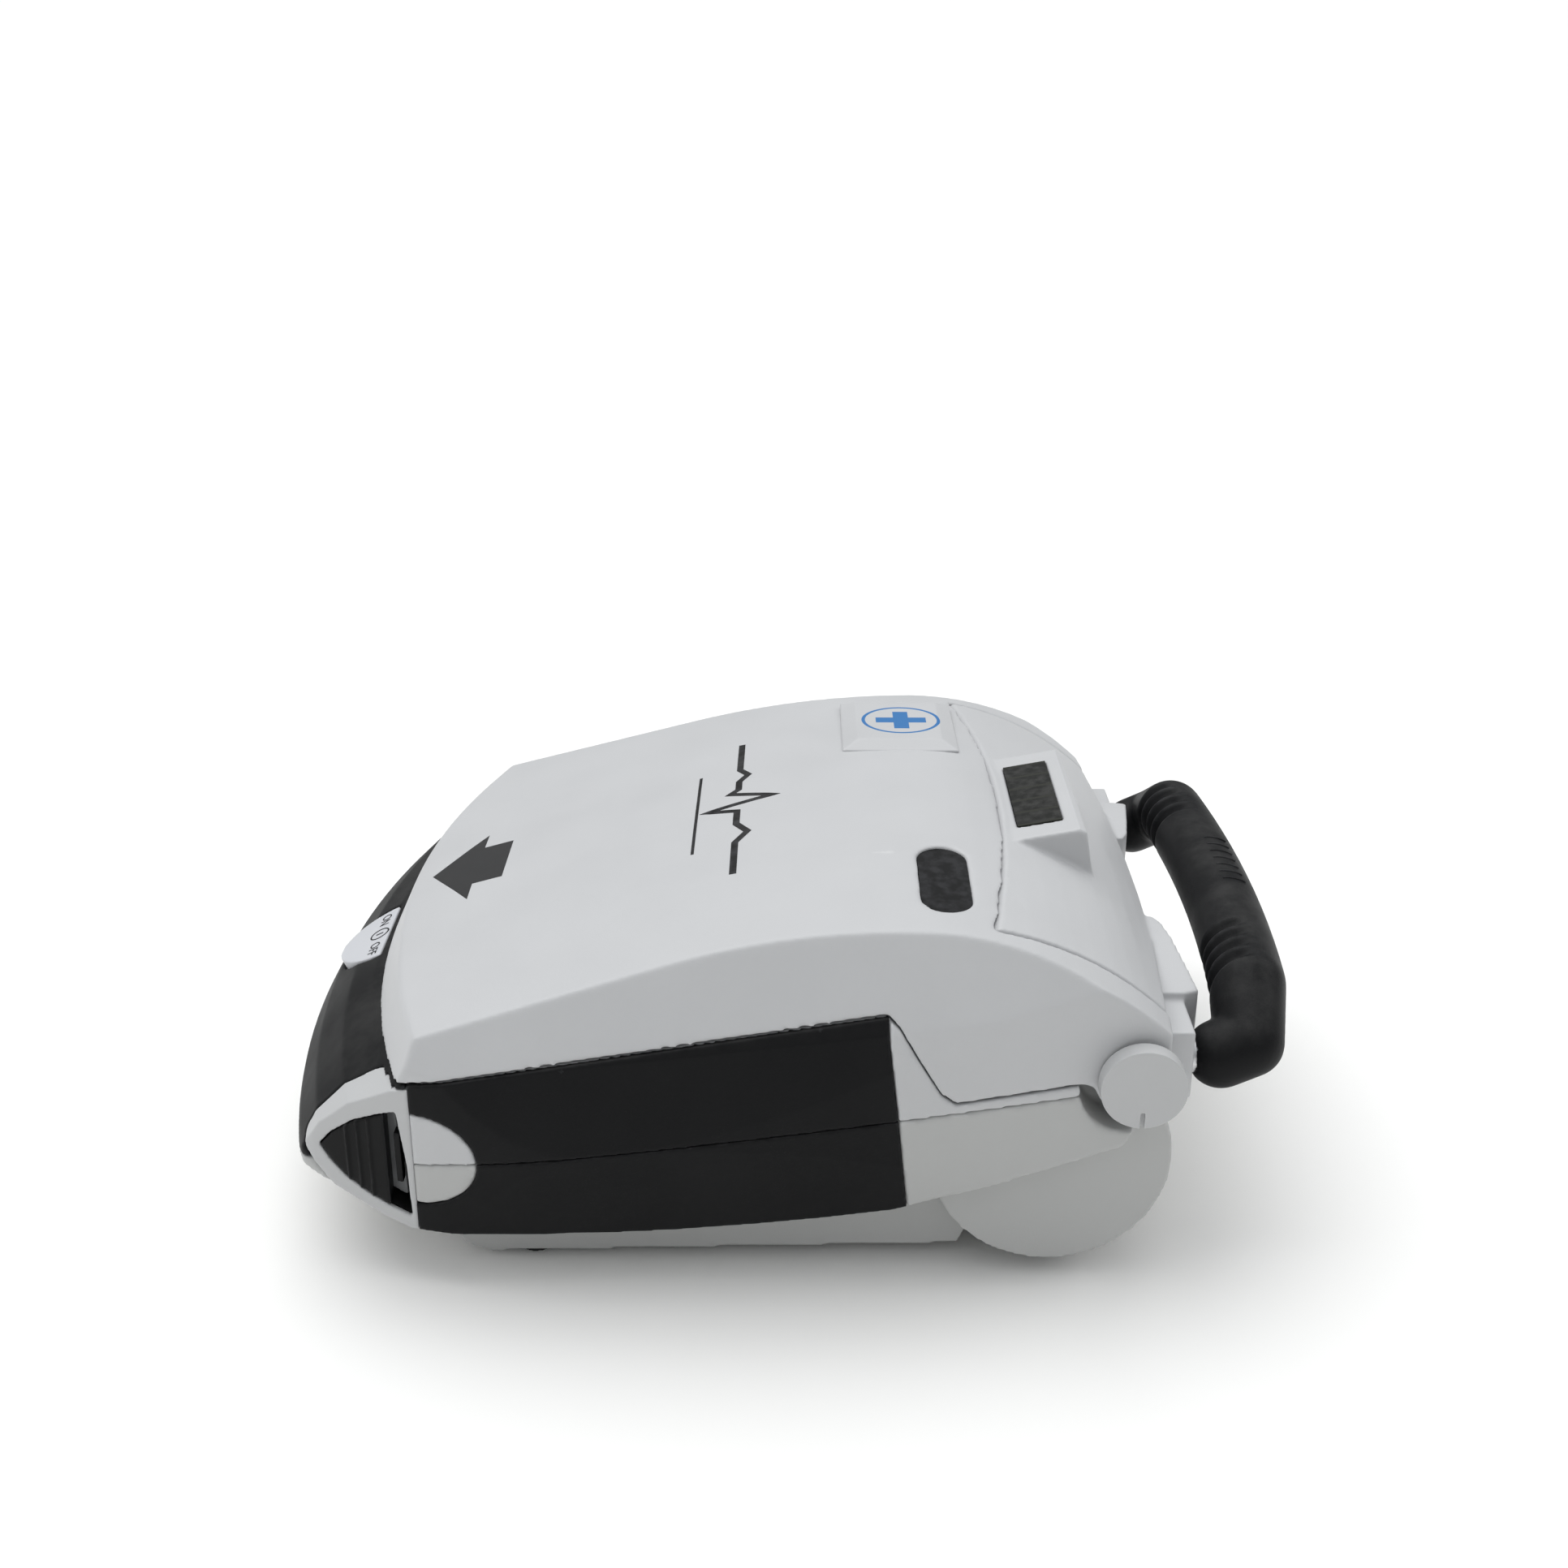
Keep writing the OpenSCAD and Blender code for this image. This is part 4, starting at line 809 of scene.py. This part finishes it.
# shock button: a plain lightning bolt; its plane leans back with the deck
shockTop = Matrix.Translation((0.056, 0.009, 0.07935)) @ Matrix.Rotation(math.radians(9.453), 4, "X")
boltPoints = [(1.6, 7.2), (-4.2, -1.2), (-0.9, -1.2), (-2.0, -7.2), (4.2, 1.4), (0.9, 1.4)]
boltLift = Matrix.Translation((0, 0, 0.00291))
printShape("shockBolt", [boltPoints], shockTop @ boltLift, "shock_button", "liner_white")

print("marks printed")


# the lid's print, painted by its material: the arrow, and a cross on the badge

lidPrint = {
    "ink": (0.008, 0.008, 0.009),
    "arrowTip": -105.2,
    "arrowBase": -91.1,
    "arrowTail": -82.2,
    "arrowHalf": 22.5,
    "shaftHalf": 12.7,
}
badgePrint = {
    "ink": (0.02, 0.16, 0.42),
    "centre": (-51.5, 37.5),
    "arm": 8.0,
    "half": 2.4,
    "ring": 12.0,
    "ringWidth": 0.55,
}


def both(tree, *masks):
    mask = masks[0]
    for other in masks[1:]:
        mask = mathNode(tree, "MULTIPLY", mask, other)
    return mask


def either(tree, first, second):
    return mathNode(tree, "MAXIMUM", first, second)


def printStart(material):
    tree = material.node_tree
    place = addNode(tree, "ShaderNodeTexCoord")
    parts = addNode(tree, "ShaderNodeSeparateXYZ")
    facing = addNode(tree, "ShaderNodeSeparateXYZ")
    tree.links.new(place.outputs["Object"], parts.inputs["Vector"])
    tree.links.new(place.outputs["Normal"], facing.inputs["Vector"])
    x = mathNode(tree, "MULTIPLY", parts.outputs["X"], 1000.0)
    y = mathNode(tree, "MULTIPLY", parts.outputs["Y"], 1000.0)
    return tree, x, y, mathNode(tree, "GREATER_THAN", facing.outputs["Z"], 0.5)


def printEnd(tree, mask, ink):
    shader = tree.nodes["Principled BSDF"]
    under = shader.inputs["Base Color"].links[0].from_socket
    tree.links.new(mixColour(tree, mask, under, ink), shader.inputs["Base Color"])


def paintLid(look):
    material = makeFinish("lidPaint", finishes["shell_grey"])
    tree, x, y, facesUp = printStart(material)
    wide = mathNode(tree, "ABSOLUTE", x)
    slope = look["arrowHalf"] / (look["arrowBase"] - look["arrowTip"])
    limit = mathNode(tree, "MULTIPLY", mathNode(tree, "SUBTRACT", y, look["arrowTip"]), slope)
    head = both(tree, mathNode(tree, "LESS_THAN", wide, limit),
                mathNode(tree, "LESS_THAN", y, look["arrowBase"]))
    shaft = both(tree, mathNode(tree, "LESS_THAN", wide, look["shaftHalf"]),
                 mathNode(tree, "LESS_THAN", y, look["arrowTail"]),
                 mathNode(tree, "GREATER_THAN", y, look["arrowBase"] - 0.5))
    mask = both(tree, either(tree, head, shaft), facesUp)
    printEnd(tree, mask, look["ink"])
    return material


def paintBadge(look):
    material = makeFinish("badgePaint", finishes["shell_grey"])
    tree, x, y, facesUp = printStart(material)
    acrossX = mathNode(tree, "ABSOLUTE", mathNode(tree, "SUBTRACT", x, look["centre"][0]))
    acrossY = mathNode(tree, "ABSOLUTE", mathNode(tree, "SUBTRACT", y, look["centre"][1]))
    armX = both(tree, mathNode(tree, "LESS_THAN", acrossX, look["arm"]),
                mathNode(tree, "LESS_THAN", acrossY, look["half"]))
    armY = both(tree, mathNode(tree, "LESS_THAN", acrossY, look["arm"]),
                mathNode(tree, "LESS_THAN", acrossX, look["half"]))
    reach = mathNode(tree, "SQRT", mathNode(tree, "ADD", mathNode(tree, "MULTIPLY", acrossX, acrossX),
                                            mathNode(tree, "MULTIPLY", acrossY, acrossY)))
    fromRing = mathNode(tree, "ABSOLUTE", mathNode(tree, "SUBTRACT", reach, look["ring"]))
    ring = mathNode(tree, "LESS_THAN", fromRing, look["ringWidth"])
    printEnd(tree, both(tree, either(tree, either(tree, armX, armY), ring), facesUp), look["ink"])
    return material


def repaint(name, material):
    soft[name].data.materials.clear()
    soft[name].data.materials.append(material)


# the lower case is the lid's plastic painted darker, as painted shade where the light from above reaches
# less, and a touch warm, as painted bounce light from the floor
lowerCaseShadeLook = {"share": 0.86, "paintedBounceWarmth": (1.0, 1.0, 0.97)}
lowerShadedValues = list(finishes["shell_grey"])
# painted shade and painted floor bounce multiplied into the lower case's base colour
lowerShadedValues[0] = tuple(c * lowerCaseShadeLook["share"] * w for c, w in zip(lowerShadedValues[0], lowerCaseShadeLook["paintedBounceWarmth"]))
repaint("lower_case", makeFinish("lowerCasePaintedShade", tuple(lowerShadedValues)))
repaint("lid_shell", paintLid(lidPrint))
repaint("lid_badge", paintBadge(badgePrint))
print("print painted")


# a heart trace printed across the lid: a ribbon draped on the roof

traceLook = {
    # x, y in mm: a flat line, a small wave, the tall beat, and a second wave
    "points": [(-47, -13), (-24, -13), (-19, -10.4), (-14, -13), (-8, -13), (-5.2, -15.4), (0, -2.6),
               (5, -22), (8, -13), (17, -13), (23, -9.6), (29, -13), (48, -13)],
    "width": 2.0,
    "rulePoints": [(-24, -25), (31, -25)],
    "ruleWidth": 0.9,
    "thickness": 0.0002,
}


def drapeRibbon(name, points, width, roof, thickness, body, slot):
    form = bmesh.new()
    tree = BVHTree.FromObject(roof, bpy.context.evaluated_depsgraph_get())
    corners = [Vector((x * mm, y * mm)) for x, y in points]
    stations = []
    for start, end in zip(corners, corners[1:]):
        count = max(2, int((end - start).length / 0.0015))
        stations += [start.lerp(end, i / count) for i in range(count)]
    stations.append(corners[-1])
    half = width * mm / 2
    rows = []
    for i, here in enumerate(stations):
        before = (here - stations[i - 1]).normalized() if i else (stations[1] - here).normalized()
        after = (stations[i + 1] - here).normalized() if i + 1 < len(stations) else before
        mean = (before + after).normalized()
        side = Vector((-mean.y, mean.x)) * half / max(0.45, mean.dot(before))
        row = []
        for spot in (here - side, here + side):
            hit = tree.ray_cast(Vector((spot.x, spot.y, 0.2)), Vector((0, 0, -1)))[0]
            row += [hit + Vector((0, 0, thickness * 0.4)), hit - Vector((0, 0, thickness * 0.6))]
        rows.append([form.verts.new(point) for point in row])
    for a, b in zip(rows, rows[1:]):
        for i, j in ((0, 2), (2, 3), (3, 1), (1, 0)):
            form.faces.new((a[i], a[j], b[j], b[i]))
    for row in (rows[0], rows[-1]):
        form.faces.new((row[0], row[2], row[3], row[1]))
    bmesh.ops.recalc_face_normals(form, faces=form.faces)
    mesh = bpy.data.meshes.new(name)
    form.to_mesh(mesh)
    form.free()
    piece = bpy.data.objects.new(name, mesh)
    bpy.context.scene.collection.objects.link(piece)
    return finishPiece(piece, name, body, slot)


for name, points, width in (("lidTrace", "points", "width"), ("lidRule", "rulePoints", "ruleWidth")):
    drapeRibbon(name, traceLook[points], traceLook[width], soft["lid_shell"], traceLook["thickness"],
                "lid", "cap_black")
print("trace draped")
